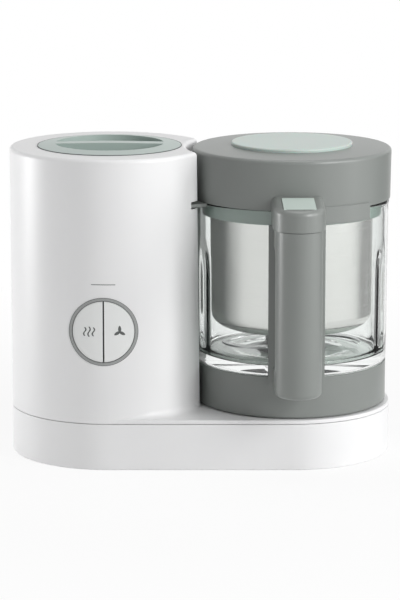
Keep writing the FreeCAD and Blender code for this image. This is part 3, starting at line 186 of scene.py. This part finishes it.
def finish_with(name, texture, values, bump, depth, turned=False, **shader_values):
    """A material whose colour, roughness and bump come from one of the texture groups.

    A turned finish stretches its highlights across the lines left by turning about an upright axis.
    """
    material = bpy.data.materials.new(name)
    material.use_nodes = True
    nodes, links = material.node_tree.nodes, material.node_tree.links
    shader = nodes["Principled BSDF"]
    surface = nodes.new("ShaderNodeGroup")
    surface.node_tree = texture
    for label, value in values.items():
        surface.inputs[label].default_value = value
    relief = nodes.new("ShaderNodeBump")
    relief.inputs["Strength"].default_value = bump
    relief.inputs["Distance"].default_value = depth
    links.new(surface.outputs["Colour"], shader.inputs["Base Color"])
    links.new(surface.outputs["Roughness"], shader.inputs["Roughness"])
    links.new(surface.outputs["Height"], relief.inputs["Height"])
    links.new(relief.outputs["Normal"], shader.inputs["Normal"])
    if turned:
        around = nodes.new("ShaderNodeTangent")
        around.direction_type = "RADIAL"
        around.axis = "Z"
        links.new(around.outputs["Tangent"], shader.inputs["Tangent"])
    for label, value in shader_values.items():
        shader.inputs[label.replace("_", " ")].default_value = value
    return material


def moulded(name, colour, shade, rough_low, rough_high, grain=1400.0, bump=0.12, **shader_values):
    """A finish for moulded plastic or rubber."""
    values = {"Colour": colour, "Shade": shade, "Grain": grain,
              "Rough Low": rough_low, "Rough High": rough_high}
    return finish_with(name, MOULDED_GRAIN, values, bump, GRAIN_DEPTH, **shader_values)


def brushed(name, colour, shade, rough_low, rough_high, bump=0.05, **shader_values):
    """A finish for metal that was brushed while it turned."""
    values = {"Colour": colour, "Shade": shade, "Rough Low": rough_low, "Rough High": rough_high}
    return finish_with(name, BRUSHED_LINES, values, bump, SCRATCH_DEPTH, turned=True, Metallic=1.0,
                       Anisotropic=0.75, **shader_values)


FINISHES = {
    "white_plastic": moulded("white_plastic", srgb(238, 238, 238), srgb(234, 234, 235), 0.36, 0.46),
    "grey_plastic": moulded("grey_plastic", srgb(128, 132, 129), srgb(123, 127, 124), 0.30, 0.40,
                            Specular_IOR_Level=0.65),
    "mint_plastic": moulded("mint_plastic", srgb(194, 207, 201), srgb(188, 202, 196), 0.30, 0.38,
                            Subsurface_Weight=0.2, Subsurface_Scale=4.0 * MM),
    "sage_plastic": moulded("sage_plastic", srgb(178, 191, 186), srgb(172, 186, 181), 0.30, 0.40),
    "button_plastic": moulded("button_plastic", srgb(236, 237, 236), srgb(231, 233, 232), 0.38, 0.46),
    "dark_plastic": moulded("dark_plastic", srgb(74, 77, 77), srgb(66, 69, 69), 0.36, 0.48),
    "basket_steel": brushed("basket_steel", srgb(230, 229, 227), srgb(220, 219, 217), 0.22, 0.30),
    "blade_steel": brushed("blade_steel", srgb(198, 198, 199), srgb(176, 176, 178), 0.16, 0.28),
    "drive_steel": brushed("drive_steel", srgb(178, 178, 179), srgb(150, 150, 152), 0.25, 0.42),
    "motor_metal": brushed("motor_metal", srgb(150, 151, 153), srgb(122, 123, 126), 0.35, 0.55),
    "belt_rubber": moulded("belt_rubber", srgb(42, 42, 43), srgb(34, 34, 35), 0.62, 0.80, grain=900.0),
    "foot_rubber": moulded("foot_rubber", srgb(96, 97, 97), srgb(86, 87, 87), 0.62, 0.80, grain=900.0),
    "clear_silicone": moulded("clear_silicone", srgb(243, 246, 244), srgb(238, 241, 239), 0.38, 0.50),
    "board_laminate": moulded("board_laminate", srgb(46, 116, 78), srgb(40, 104, 70), 0.25, 0.36,
                              grain=500.0),
}
SHEER_MINT = moulded("sheer_mint", srgb(198, 212, 206), srgb(190, 205, 199), 0.26, 0.34,
                     Transmission_Weight=0.45, IOR=1.45)
PUSH_MINT = moulded("push_mint", srgb(214, 227, 220), srgb(208, 222, 215), 0.28, 0.36)
BEZEL_GREY = moulded("bezel_grey", srgb(158, 160, 159), srgb(152, 154, 153), 0.30, 0.40)
PRINT_GREY = moulded("print_grey", srgb(92, 95, 94), srgb(84, 87, 86), 0.45, 0.55)


def make_glass():
    """Clear pressed glass with the faint waves of a mould, which lets lamp light through to the inside."""
    material = bpy.data.materials.new("clear_glass")
    material.use_nodes = True
    nodes, links = material.node_tree.nodes, material.node_tree.links
    shader = nodes["Principled BSDF"]
    shader.inputs["Base Color"].default_value = srgb(250, 252, 251)
    shader.inputs["Roughness"].default_value = 0.015
    shader.inputs["Transmission Weight"].default_value = 1.0
    shader.inputs["IOR"].default_value = 1.47
    place = nodes.new("ShaderNodeTexCoord")
    waves = nodes.new("ShaderNodeTexNoise")
    waves.inputs["Scale"].default_value = 38.0
    waves.inputs["Detail"].default_value = 1.0
    relief = nodes.new("ShaderNodeBump")
    relief.inputs["Strength"].default_value = 0.05
    relief.inputs["Distance"].default_value = 0.4 * MM
    links.new(place.outputs["Object"], waves.inputs["Vector"])
    links.new(waves.outputs["Fac"], relief.inputs["Height"])
    links.new(relief.outputs["Normal"], shader.inputs["Normal"])
    path = nodes.new("ShaderNodeLightPath")
    lit = nodes.new("ShaderNodeMath")
    lit.operation = "MAXIMUM"
    clear = nodes.new("ShaderNodeBsdfTransparent")
    clear.inputs["Color"].default_value = srgb(244, 248, 246)
    blend = nodes.new("ShaderNodeMixShader")
    links.new(path.outputs["Is Shadow Ray"], lit.inputs[0])
    links.new(path.outputs["Is Diffuse Ray"], lit.inputs[1])
    links.new(lit.outputs["Value"], blend.inputs["Fac"])
    links.new(shader.outputs["BSDF"], blend.inputs[1])
    links.new(clear.outputs["BSDF"], blend.inputs[2])
    links.new(blend.outputs["Shader"], nodes["Material Output"].inputs["Surface"])
    return material


FINISHES["clear_glass"] = make_glass()

for entry in frame["record"]["subparts"]:
    node = NODES[entry["node"]]
    node.material_slots[0].material = FINISHES[entry["material_slot"]]
NODES["basket_ring"].material_slots[0].material = SHEER_MINT
NODES["control_bezel"].material_slots[0].material = BEZEL_GREY
NODES["lid_button"].material_slots[0].material = PUSH_MINT


def piece_from(bm, name, body, slot, finish=None):
    """Turns a finished bmesh into a smooth piece that rides on a body."""
    mesh = bpy.data.meshes.new(name)
    bm.to_mesh(mesh)
    bm.free()
    for face in mesh.polygons:
        face.use_smooth = True
    mesh.set_sharp_from_angle(angle=SHARP_EDGE)
    thing = bpy.data.objects.new(name, mesh)
    bpy.context.scene.collection.objects.link(thing)
    mesh.materials.append(finish or FINISHES[slot])
    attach(thing, body)
    return thing


def arc(centre_radius, centre_height, radius, start, end, steps):
    """Corners along a round corner of a half section, from one angle to another in degrees."""
    corners = []
    for step in range(steps + 1):
        angle = math.radians(start + (end - start) * step / steps)
        corners.append((centre_radius + radius * math.cos(angle), centre_height + radius * math.sin(angle)))
    return corners


def straight(start, end, steps):
    """Corners along a straight stretch of a half section, without the one that it starts from."""
    corners = []
    for step in range(1, steps + 1):
        share = step / steps
        corners.append((start[0] + (end[0] - start[0]) * share, start[1] + (end[1] - start[1]) * share))
    return corners


def spun_ring(corners, x, y, steps):
    """A closed ring spun about an upright axis from a closed half section in metres."""
    bm = bmesh.new()
    verts = [bm.verts.new((x + radius, y, height)) for radius, height in corners]
    edges = [bm.edges.new(pair) for pair in zip(verts, verts[1:] + verts[:1])]
    bmesh.ops.spin(bm, geom=verts + edges, cent=(x, y, 0.0), axis=(0.0, 0.0, 1.0), angle=math.tau,
                   steps=steps, use_merge=True)
    bmesh.ops.remove_doubles(bm, verts=bm.verts, dist=SAME_PLACE)
    bmesh.ops.recalc_face_normals(bm, faces=bm.faces)
    return bm


# The jar's glass, whose foot, rim and widest radius come from the solid that it replaces
JAR_LOW, JAR_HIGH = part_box("glass_jar")
JAR_FOOT = JAR_LOW[2]
JAR_RIM = JAR_HIGH[2]
RIM_RADIUS = (JAR_HIGH[0] - JAR_LOW[0]) / 2
FOOT_RADIUS = 77.0 * MM
MOUTH_RADIUS = 78.2 * MM
GLASS_WALL = 4.2 * MM
GLASS_FLOOR = 7.5 * MM
INNER_LOW = FOOT_RADIUS - GLASS_WALL
INNER_HIGH = MOUTH_RADIUS - GLASS_WALL
INNER_FLOOR = JAR_FOOT + GLASS_FLOOR
SEAT_HOLE = 14.1 * MM
FOOT_FLAT_INSET = 9.0 * MM
FOOT_ROUND = 3.0 * MM
FLOOR_CORNER = 8.0 * MM
FLOOR_RINGS = (58.0 * MM, 44.0 * MM)
FLOOR_RING_HALF = 1.8 * MM
FLOOR_RING_RISE = 0.35 * MM
WALL_STEPS = 14
JAR_STEPS = 288

# The bead round the glass rim; it starts at an angle under its middle, in degrees
BEAD_ROUND = 1.7 * MM
BEAD_HEIGHT = 6.0 * MM
BEAD_OVERHANG = 0.5 * MM
BEAD_START = -50.0

# The ribs inside the glass, on either side of the width axis
RIB_TURN = math.radians(22.0)
RIB_HALF_ANGLE = math.radians(4.6)
RIB_EDGE = math.radians(1.0)
RIB_DEPTH = 1.5 * MM
RIB_DROP = 41.8 * MM
RIB_RUN_OUT = 9.0 * MM

# Only corners this near to the inner wall, and this far above the floor, are pushed in for the ribs
RIB_REACH_IN = 12.0 * MM
RIB_REACH_OUT = 1.2 * MM
RIB_FLOOR_GAP = 1.0 * MM


def glass_outline():
    """Half section of the glass: a thick foot, a beaded rim, a round inner corner and floor rings."""
    wall_low = JAR_FOOT + FOOT_ROUND
    wall_high = JAR_RIM - BEAD_HEIGHT
    inside_high = JAR_RIM - 2 * BEAD_ROUND
    inside_low = INNER_FLOOR + FLOOR_CORNER
    corners = [(SEAT_HOLE, JAR_FOOT), (FOOT_RADIUS - FOOT_FLAT_INSET, JAR_FOOT)]
    corners += arc(FOOT_RADIUS - FOOT_ROUND, wall_low, FOOT_ROUND, -90.0, 0.0, steps=6)
    corners += straight((FOOT_RADIUS, wall_low), (MOUTH_RADIUS - BEAD_OVERHANG, wall_high), steps=WALL_STEPS)
    corners += arc(RIM_RADIUS - BEAD_ROUND, wall_high + 2 * BEAD_ROUND, BEAD_ROUND, BEAD_START, 0.0, steps=3)
    corners += arc(RIM_RADIUS - BEAD_ROUND, JAR_RIM - BEAD_ROUND, BEAD_ROUND, 0.0, 90.0, steps=5)
    corners += arc(INNER_HIGH + BEAD_ROUND, JAR_RIM - BEAD_ROUND, BEAD_ROUND, 90.0, 180.0, steps=5)
    corners += straight((INNER_HIGH, inside_high), (INNER_LOW, inside_low), steps=WALL_STEPS)
    corners += arc(INNER_LOW - FLOOR_CORNER, inside_low, FLOOR_CORNER, 0.0, -90.0, steps=8)[1:]
    for ring in FLOOR_RINGS:
        corners += [(ring + FLOOR_RING_HALF, INNER_FLOOR), (ring, INNER_FLOOR + FLOOR_RING_RISE),
                    (ring - FLOOR_RING_HALF, INNER_FLOOR)]
    corners.append((SEAT_HOLE, INNER_FLOOR))
    return corners


def push_ribs(bm):
    """Pushes the inner wall of the glass in along four upright ribs that run out at both ends."""
    rib_top = JAR_RIM - RIB_DROP
    for vert in bm.verts:
        out = Vector((vert.co.x - JAR_X, vert.co.y - MIDDLE_Y, 0.0))
        inside = INNER_LOW - RIB_REACH_IN < out.length < INNER_HIGH + RIB_REACH_OUT
        if not inside or not INNER_FLOOR + RIB_FLOOR_GAP < vert.co.z < rib_top:
            continue
        side = abs(math.atan2(abs(out.y), abs(out.x)) - RIB_TURN)
        rise = min(1.0, (vert.co.z - INNER_FLOOR) / FLOOR_CORNER, (rib_top - vert.co.z) / RIB_RUN_OUT)
        depth = RIB_DEPTH * rise / (1.0 + math.exp((side - RIB_HALF_ANGLE) / RIB_EDGE))
        vert.co -= out.normalized() * depth


def make_glass_jar():
    """The pressed glass jar, in place of the plainer solid."""
    bm = spun_ring(glass_outline(), JAR_X, MIDDLE_Y, steps=JAR_STEPS)
    push_ribs(bm)
    jar = piece_from(bm, "pressed_glass_jar", "jar", "clear_glass")
    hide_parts("glass_jar")


def make_foot_pad():
    """The pale silicone pad that the glass stands on, with a thin lip over the collar's edge."""
    low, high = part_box("jar_gasket")
    radius = (high[0] - low[0]) / 2
    soft = 0.8 * MM
    inner = 25.0 * MM
    lip_radius = 75.4 * MM
    film = 0.02 * MM
    top = JAR_FOOT - film
    lip_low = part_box("jar_collar")[1][2] + film
    corners = [(lip_radius, lip_low), (lip_radius, top)]
    corners += arc(inner + soft, top - soft, soft, 90.0, 180.0, steps=4)
    corners += arc(inner + soft, low[2] + soft, soft, 180.0, 270.0, steps=4)
    corners += arc(radius - soft, low[2] + soft, soft, 270.0, 360.0, steps=4)
    corners.append((radius, lip_low))
    bm = spun_ring(corners, JAR_X, MIDDLE_Y, steps=96)
    pad = piece_from(bm, "silicone_foot_pad", "jar", "clear_silicone")
    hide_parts("jar_gasket")


def swept(sections):
    """A closed solid through a row of sections, each a loop of as many corners."""
    bm = bmesh.new()
    verts = [bm.verts.new(place) for place in sections[0]]
    loop = [bm.edges.new(pair) for pair in zip(verts, verts[1:] + verts[:1])]
    bm.faces.new(verts)
    for section in sections[1:]:
        grown = bmesh.ops.extrude_edge_only(bm, edges=loop)["geom"]
        verts = [item for item in grown if isinstance(item, bmesh.types.BMVert)]
        loop = [item for item in grown if isinstance(item, bmesh.types.BMEdge)
                and all(vert in verts for vert in item.verts)]
        for vert, place in zip(verts, section):
            vert.co = place
    bmesh.ops.holes_fill(bm, edges=loop)
    bmesh.ops.recalc_face_normals(bm, faces=bm.faces)
    return bm


def make_tower_foot_blend(side, name):
    """The hollow rounding that leads the tower's wall into the platform, narrow where they run together."""
    foot_gap = 0.3 * MM
    platform_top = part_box("jar_foot_ring")[0][2] - foot_gap
    sink = 0.4 * MM
    widest = 5.0 * MM
    room_used = 0.8
    start, end = math.radians(84.0), math.radians(27.0)
    run_out, end_share = math.radians(6.0), 0.15
    steps, section_steps = 48, 6

    def section(angle):
        """A cut through the rounding at an angle round the tower."""
        room = TOWER_RADIUS * (1.0 - math.sin(angle))
        taper = min(1.0, (angle - end) / run_out + end_share)
        size = min(widest, room_used * room) * taper
        places = [(TOWER_RADIUS - sink, platform_top - sink), (TOWER_RADIUS + size, platform_top - sink)]
        for step in range(section_steps + 1):
            turn = math.radians(270.0 - 90.0 * step / section_steps)
            places.append((TOWER_RADIUS + size + size * math.cos(turn),
                           platform_top + size + size * math.sin(turn)))
        places.append((TOWER_RADIUS - sink, platform_top + size))
        return [Vector((TOWER_X + radius * math.cos(angle),
                        MIDDLE_Y + side * radius * math.sin(angle), height))
                for radius, height in places]

    bm = swept([section(start + (end - start) * step / steps) for step in range(steps + 1)])
    piece_from(bm, name, "housing", "white_plastic")


# Thickness of the wire of each button's spring
SPRING_WIRE = {
    "steam_button_spring": 0.7 * MM,
    "blend_button_spring": 0.7 * MM,
    "lid_button_spring": 0.8 * MM,
}


def coil(low, high, along, wire):
    """Sections of a wire, given by its radius, that is coiled along one axis and fills a box."""
    across, aside = (along + 1) % 3, (along + 2) % 3
    radius = (high[across] - low[across]) / 2 - wire
    length = high[along] - low[along]
    turns, turn_steps, wire_steps = 3, 28, 8
    sections = []
    for step in range(turns * turn_steps + 1):
        angle = math.tau * step / turn_steps
        level = low[along] + wire + (length - 2 * wire) * step / (turns * turn_steps)
        ring = []
        for corner in range(wire_steps):
            turn = math.tau * corner / wire_steps
            reach = radius + wire * math.cos(turn)
            place = Vector()
            place[along] = level + wire * math.sin(turn)
            place[across] = (low[across] + high[across]) / 2 + reach * math.cos(angle)
            place[aside] = (low[aside] + high[aside]) / 2 + reach * math.sin(angle)
            ring.append(place)
        sections.append(ring)
    return sections


def make_spring(joint):
    """A coiled spring for a button, built in the box of the solid that it replaces."""
    entry = joint["deforming_nodes"][0]
    node = entry["node"]
    letter = entry["mode"][-1]
    along = "xyz".index(letter)
    low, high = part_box(node)
    fixed = entry[f"fixed_end_{letter}_m"]
    sections = coil(low, high, along, SPRING_WIRE[node] / 2)
    spring = piece_from(swept(sections), f"coiled_{node}", joint["parent"], "drive_steel")
    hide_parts(node)
    direction = Vector()
    direction[along] = 1.0
    anchor = Vector([(low[index] + high[index]) / 2 for index in range(3)])
    anchor[along] = fixed
    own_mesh(spring)


# Marks on the tower's front: how far they stand off it and how thick they are
PRINT_LIFT = 0.06 * MM
PRINT_DEPTH = 0.12 * MM

# The seams stand off further, over the control's ring
SEAM_LIFT = 0.32 * MM
SEAM_WIDTH = 0.35 * MM
SEAM_RADII = {"control_seam_inner": 24.5 * MM, "control_seam_outer": 26.9 * MM}


def wrap_print(bm, lift=PRINT_LIFT):
    """Lays flat artwork, drawn in X and Z, on the tower's round front and gives it a little thickness."""
    for vert in bm.verts:
        across = vert.co.x - TOWER_X
        vert.co.y = MIDDLE_Y - math.sqrt((TOWER_RADIUS + lift) ** 2 - across**2)
    bmesh.ops.recalc_face_normals(bm, faces=bm.faces)
    bmesh.ops.solidify(bm, geom=bm.faces[:], thickness=PRINT_DEPTH)
    bmesh.ops.recalc_face_normals(bm, faces=bm.faces)


def add_stroke(bm, places, width):
    """A flat stroke of even width through points in X and Z."""
    verts = [bm.verts.new((x - width / 2, 0.0, z)) for x, z in places]
    edges = [bm.edges.new(pair) for pair in zip(verts, verts[1:])]
    grown = bmesh.ops.extrude_edge_only(bm, edges=edges)["geom"]
    far_side = [item for item in grown if isinstance(item, bmesh.types.BMVert)]
    bmesh.ops.translate(bm, verts=far_side, vec=(width, 0.0, 0.0))


def add_petal(bm, x, z, length, width, angle):
    """A flat oval, slimmer at its far end, that starts at a point and leans at an angle."""
    slimming = 0.35
    made = bmesh.ops.create_circle(bm, cap_ends=True, segments=28, radius=0.5)["verts"]
    for vert in made:
        along = vert.co.x + 0.5
        across = vert.co.y * (1.0 - slimming * along)
        vert.co = (x + length * along * math.cos(angle) - width * across * math.sin(angle), 0.0,
                   z + length * along * math.sin(angle) + width * across * math.cos(angle))


def button_level():
    """Height of the middle of the buttons."""
    low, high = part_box("steam_button")
    return (low[2] + high[2]) / 2


def make_steam_symbol():
    """Three curls of steam on the left button, the middle one a little taller."""
    level = button_level()
    steam_x = TOWER_X - 14.4 * MM
    curl_gap = 3.4 * MM
    curl_sway = 0.9 * MM
    curl_height = 8.0 * MM
    middle_extra = 1.0 * MM
    curl_width = 1.1 * MM
    curl_steps = 16
    bm = bmesh.new()
    for curl in (-1, 0, 1):
        places = []
        for step in range(curl_steps + 1):
            share = step / curl_steps - 0.5
            sway = curl_sway * math.sin(math.tau * share)
            height = curl_height - abs(curl) * middle_extra
            places.append((steam_x + curl * curl_gap + sway, level + share * height))
        add_stroke(bm, places, curl_width)
    wrap_print(bm)
    piece_from(bm, "steam_symbol", "steam_button", "grey_plastic", PRINT_GREY)


def make_blade_symbol():
    """Three blades on the right button."""
    level = button_level()
    blade_x = TOWER_X + 9.6 * MM
    blade_length = 4.9 * MM
    blade_width = 2.9 * MM
    bm = bmesh.new()
    for blade in range(3):
        add_petal(bm, blade_x, level, blade_length, blade_width, math.radians(90.0 + 120.0 * blade))
    wrap_print(bm)
    piece_from(bm, "blade_symbol", "blend_button", "grey_plastic", PRINT_GREY)


def make_seam(name, radius):
    """A thin dark seam round the control, drawn as a ring on the tower's front."""
    low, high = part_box("control_bezel")
    middle_x, level = (low[0] + high[0]) / 2, (low[2] + high[2]) / 2
    bm = bmesh.new()
    inner = bmesh.ops.create_circle(bm, segments=128, radius=radius)["verts"]
    grown = bmesh.ops.extrude_edge_only(bm, edges=bm.edges[:])["geom"]
    outer = [item for item in grown if isinstance(item, bmesh.types.BMVert)]
    growth = 1.0 + SEAM_WIDTH / radius
    bmesh.ops.scale(bm, vec=(growth, growth, 1.0), verts=outer)
    for vert in inner + outer:
        vert.co = (middle_x + vert.co.x, 0.0, level + vert.co.y)
    wrap_print(bm, lift=SEAM_LIFT)
    piece_from(bm, name, "housing", "dark_plastic", PRINT_GREY)


def make_tank_lid_painted_shadow():
    """A dark ring round the tank lid: painted shadow for the shaded gap where the lid's edge stands a little
    above the tower.
    """
    low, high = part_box("tank_lid")
    radius = (high[0] - low[0]) / 2
    middle_x, middle_y = (low[0] + high[0]) / 2, (low[1] + high[1]) / 2
    gap = 0.05 * MM
    thickness = 0.2 * MM
    line_height = 0.5 * MM
    inner = radius + gap
    outer = inner + thickness
    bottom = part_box("tower_shell")[1][2] + gap
    top = bottom + line_height
    corners = [(inner, bottom), (outer, bottom), (outer, top), (inner, top)]
    bm = spun_ring(corners, middle_x, middle_y, steps=160)
    # The dark ring is painted shadow, in place of the shade under the lid's edge
    piece_from(bm, "tank_lid_painted_shadow_line", "housing", "dark_plastic")


def make_trim_line():
    """The short thin line printed on the tower above the control."""
    bm = bmesh.new()
    middle = TOWER_X - 3.1 * MM
    level = 149.6 * MM
    half_length = 9.5 * MM
    half_width = 0.28 * MM
    bmesh.ops.create_grid(bm, x_segments=24, y_segments=1, size=1.0)
    bmesh.ops.scale(bm, vec=(half_length, half_width, 1.0), verts=bm.verts)
    for vert in bm.verts:
        vert.co = (middle + vert.co.x, 0.0, level + vert.co.y)
    wrap_print(bm)
    piece_from(bm, "trim_line", "housing", "grey_plastic", PRINT_GREY)


def make_camera():
    """A long lens in front of the machine and a little above it, fitted to edges in the photo."""
    camera = bpy.data.objects.new("camera", bpy.data.cameras.new("camera"))
    camera.location = (0.0, -2.2243, 0.5796)
    camera.rotation_euler = (math.radians(78.473), 0.0, 0.0)
    camera.data.lens = 170.07
    camera.data.sensor_width = 36.0
    camera.data.shift_x = -0.0012
    camera.data.clip_end = 50.0
    bpy.context.scene.collection.objects.link(camera)
    bpy.context.scene.camera = camera


def area_light(name, place, aim, width, height, power):
    """A rectangular lamp at a place, turned to a point."""
    lamp = bpy.data.lights.new(name, "AREA")
    lamp.shape = "RECTANGLE"
    lamp.size = width
    lamp.size_y = height
    lamp.energy = power
    thing = bpy.data.objects.new(name, lamp)
    thing.location = place
    thing.rotation_euler = (Vector(aim) - Vector(place)).to_track_quat("-Z", "Y").to_euler()
    bpy.context.scene.collection.objects.link(thing)


def seen_directly(nodes, links):
    """A value that is 1 where the backdrop is seen straight, mirrored or through glass, and else 0."""
    path = nodes.new("ShaderNodeLightPath")
    mirrored = nodes.new("ShaderNodeMath")
    mirrored.operation = "MAXIMUM"
    through = nodes.new("ShaderNodeMath")
    through.operation = "MAXIMUM"
    links.new(path.outputs["Is Camera Ray"], mirrored.inputs[0])
    links.new(path.outputs["Is Glossy Ray"], mirrored.inputs[1])
    links.new(mirrored.outputs[0], through.inputs[0])
    links.new(path.outputs["Is Transmission Ray"], through.inputs[1])
    return through.outputs[0]


def make_world(ambient):
    """A white background that lights the machine only by its ambient strength."""
    world = bpy.data.worlds.new("studio")
    bpy.context.scene.world = world
    world.use_nodes = True
    nodes, links = world.node_tree.nodes, world.node_tree.links
    strength = nodes.new("ShaderNodeMapRange")
    strength.inputs["To Min"].default_value = ambient
    strength.inputs["To Max"].default_value = 1.0
    links.new(seen_directly(nodes, links), strength.inputs["Value"])
    back = nodes["Background"]
    back.inputs["Color"].default_value = (1.0, 1.0, 1.0, 1.0)
    links.new(strength.outputs["Result"], back.inputs["Strength"])


def set_piece(bm, name, material):
    """Turns a finished bmesh into a thing of the set around the machine."""
    mesh = bpy.data.meshes.new(name)
    bm.to_mesh(mesh)
    bm.free()
    thing = bpy.data.objects.new(name, mesh)
    bpy.context.scene.collection.objects.link(thing)
    mesh.materials.append(material)
    return thing


# The floor, and the distances from its middle at which the shadow starts to fade and is gone
FLOOR_HALF = 4.0
SHADOW_FULL = 0.25
SHADOW_GONE = 0.70


def make_pale_floor(shadow_share):
    """A pale finish that keeps part of the shadow near the middle and is plain white further out."""
    material = bpy.data.materials.new("pale_floor")
    material.use_nodes = True
    nodes, links = material.node_tree.nodes, material.node_tree.links
    matt = nodes["Principled BSDF"]
    matt.inputs["Base Color"].default_value = (0.9, 0.9, 0.9, 1.0)
    matt.inputs["Roughness"].default_value = 0.9
    matt.inputs["Specular IOR Level"].default_value = 0.0
    glow = nodes.new("ShaderNodeEmission")
    place = nodes.new("ShaderNodeTexCoord")
    away = nodes.new("ShaderNodeVectorMath")
    away.operation = "LENGTH"
    share = nodes.new("ShaderNodeMapRange")
    share.inputs["From Min"].default_value = SHADOW_FULL
    share.inputs["From Max"].default_value = SHADOW_GONE
    share.inputs["To Min"].default_value = 1.0 - shadow_share
    share.inputs["To Max"].default_value = 1.0
    seen = nodes.new("ShaderNodeMath")
    seen.operation = "MULTIPLY"
    blend = nodes.new("ShaderNodeMixShader")
    links.new(place.outputs["Object"], away.inputs[0])
    links.new(away.outputs["Value"], share.inputs["Value"])
    links.new(share.outputs["Result"], seen.inputs[0])
    links.new(seen_directly(nodes, links), seen.inputs[1])
    links.new(seen.outputs["Value"], blend.inputs["Fac"])
    links.new(matt.outputs["BSDF"], blend.inputs[1])
    links.new(glow.outputs["Emission"], blend.inputs[2])
    links.new(blend.outputs["Shader"], nodes["Material Output"].inputs["Surface"])
    return material


def make_floor(shadow_share):
    """A pale floor that meets the white background."""
    bm = bmesh.new()
    bmesh.ops.create_grid(bm, x_segments=1, y_segments=1, size=FLOOR_HALF)
    set_piece(bm, "floor", make_pale_floor(shadow_share))


CARD_GREY = (0.22, 0.22, 0.22, 1.0)


def grey_card(name, place, aim, width, height):
    """A grey card beside the machine that only mirrors and glass see, for the darker side of the steel."""
    bm = bmesh.new()
    bmesh.ops.create_grid(bm, x_segments=1, y_segments=1, size=0.5)
    bmesh.ops.scale(bm, vec=(width, height, 1.0), verts=bm.verts)
    turn = (Vector(aim) - Vector(place)).to_track_quat("-Z", "Y").to_matrix().to_4x4()
    bmesh.ops.transform(bm, matrix=Matrix.Translation(place) @ turn, verts=bm.verts)
    material = bpy.data.materials.new(name)
    material.use_nodes = True
    shader = material.node_tree.nodes["Principled BSDF"]
    shader.inputs["Base Color"].default_value = CARD_GREY
    card = set_piece(bm, name, material)
    card.visible_camera = False
    card.visible_diffuse = False
    card.visible_shadow = False


make_glass_jar()
make_foot_pad()
make_tower_foot_blend(-1, "tower_foot_blend_front")
make_tower_foot_blend(1, "tower_foot_blend_rear")
make_steam_symbol()
make_blade_symbol()
for seam, seam_radius in SEAM_RADII.items():
    make_seam(seam, seam_radius)
make_tank_lid_painted_shadow()
make_trim_line()
for moving in frame["record"]["behaviour"]["joints"]:
    if "deforming_nodes" in moving:
        make_spring(moving)

# Points that the lamps and the card face
JAR_FRONT = (0.05, 0.0, 0.12)
TOWER_SIDE = (-0.1, 0.02, 0.12)
MACHINE_MIDDLE = (0.0, 0.02, 0.1)
JAR_MIDDLE = (JAR_X, MIDDLE_Y, 0.15)

make_camera()
make_world(ambient=0.19)
make_floor(shadow_share=0.12)
area_light("key_right", (1.45, -1.45, 1.0), aim=JAR_FRONT, width=0.8, height=1.3, power=27.0)
area_light("side_right", (1.75, -0.55, 0.7), aim=JAR_FRONT, width=0.35, height=1.4, power=10.0)
area_light("rim_left", (-1.35, 0.22, 0.16), aim=TOWER_SIDE, width=0.25, height=0.3, power=9.0)
area_light("top_soft", (0.1, 0.1, 1.9), aim=MACHINE_MIDDLE, width=1.4, height=1.2, power=10.0)
grey_card("card_right", (0.391, 0.192, 0.15), aim=JAR_MIDDLE, width=0.26, height=0.3)

bpy.context.scene.view_settings.view_transform = "Standard"
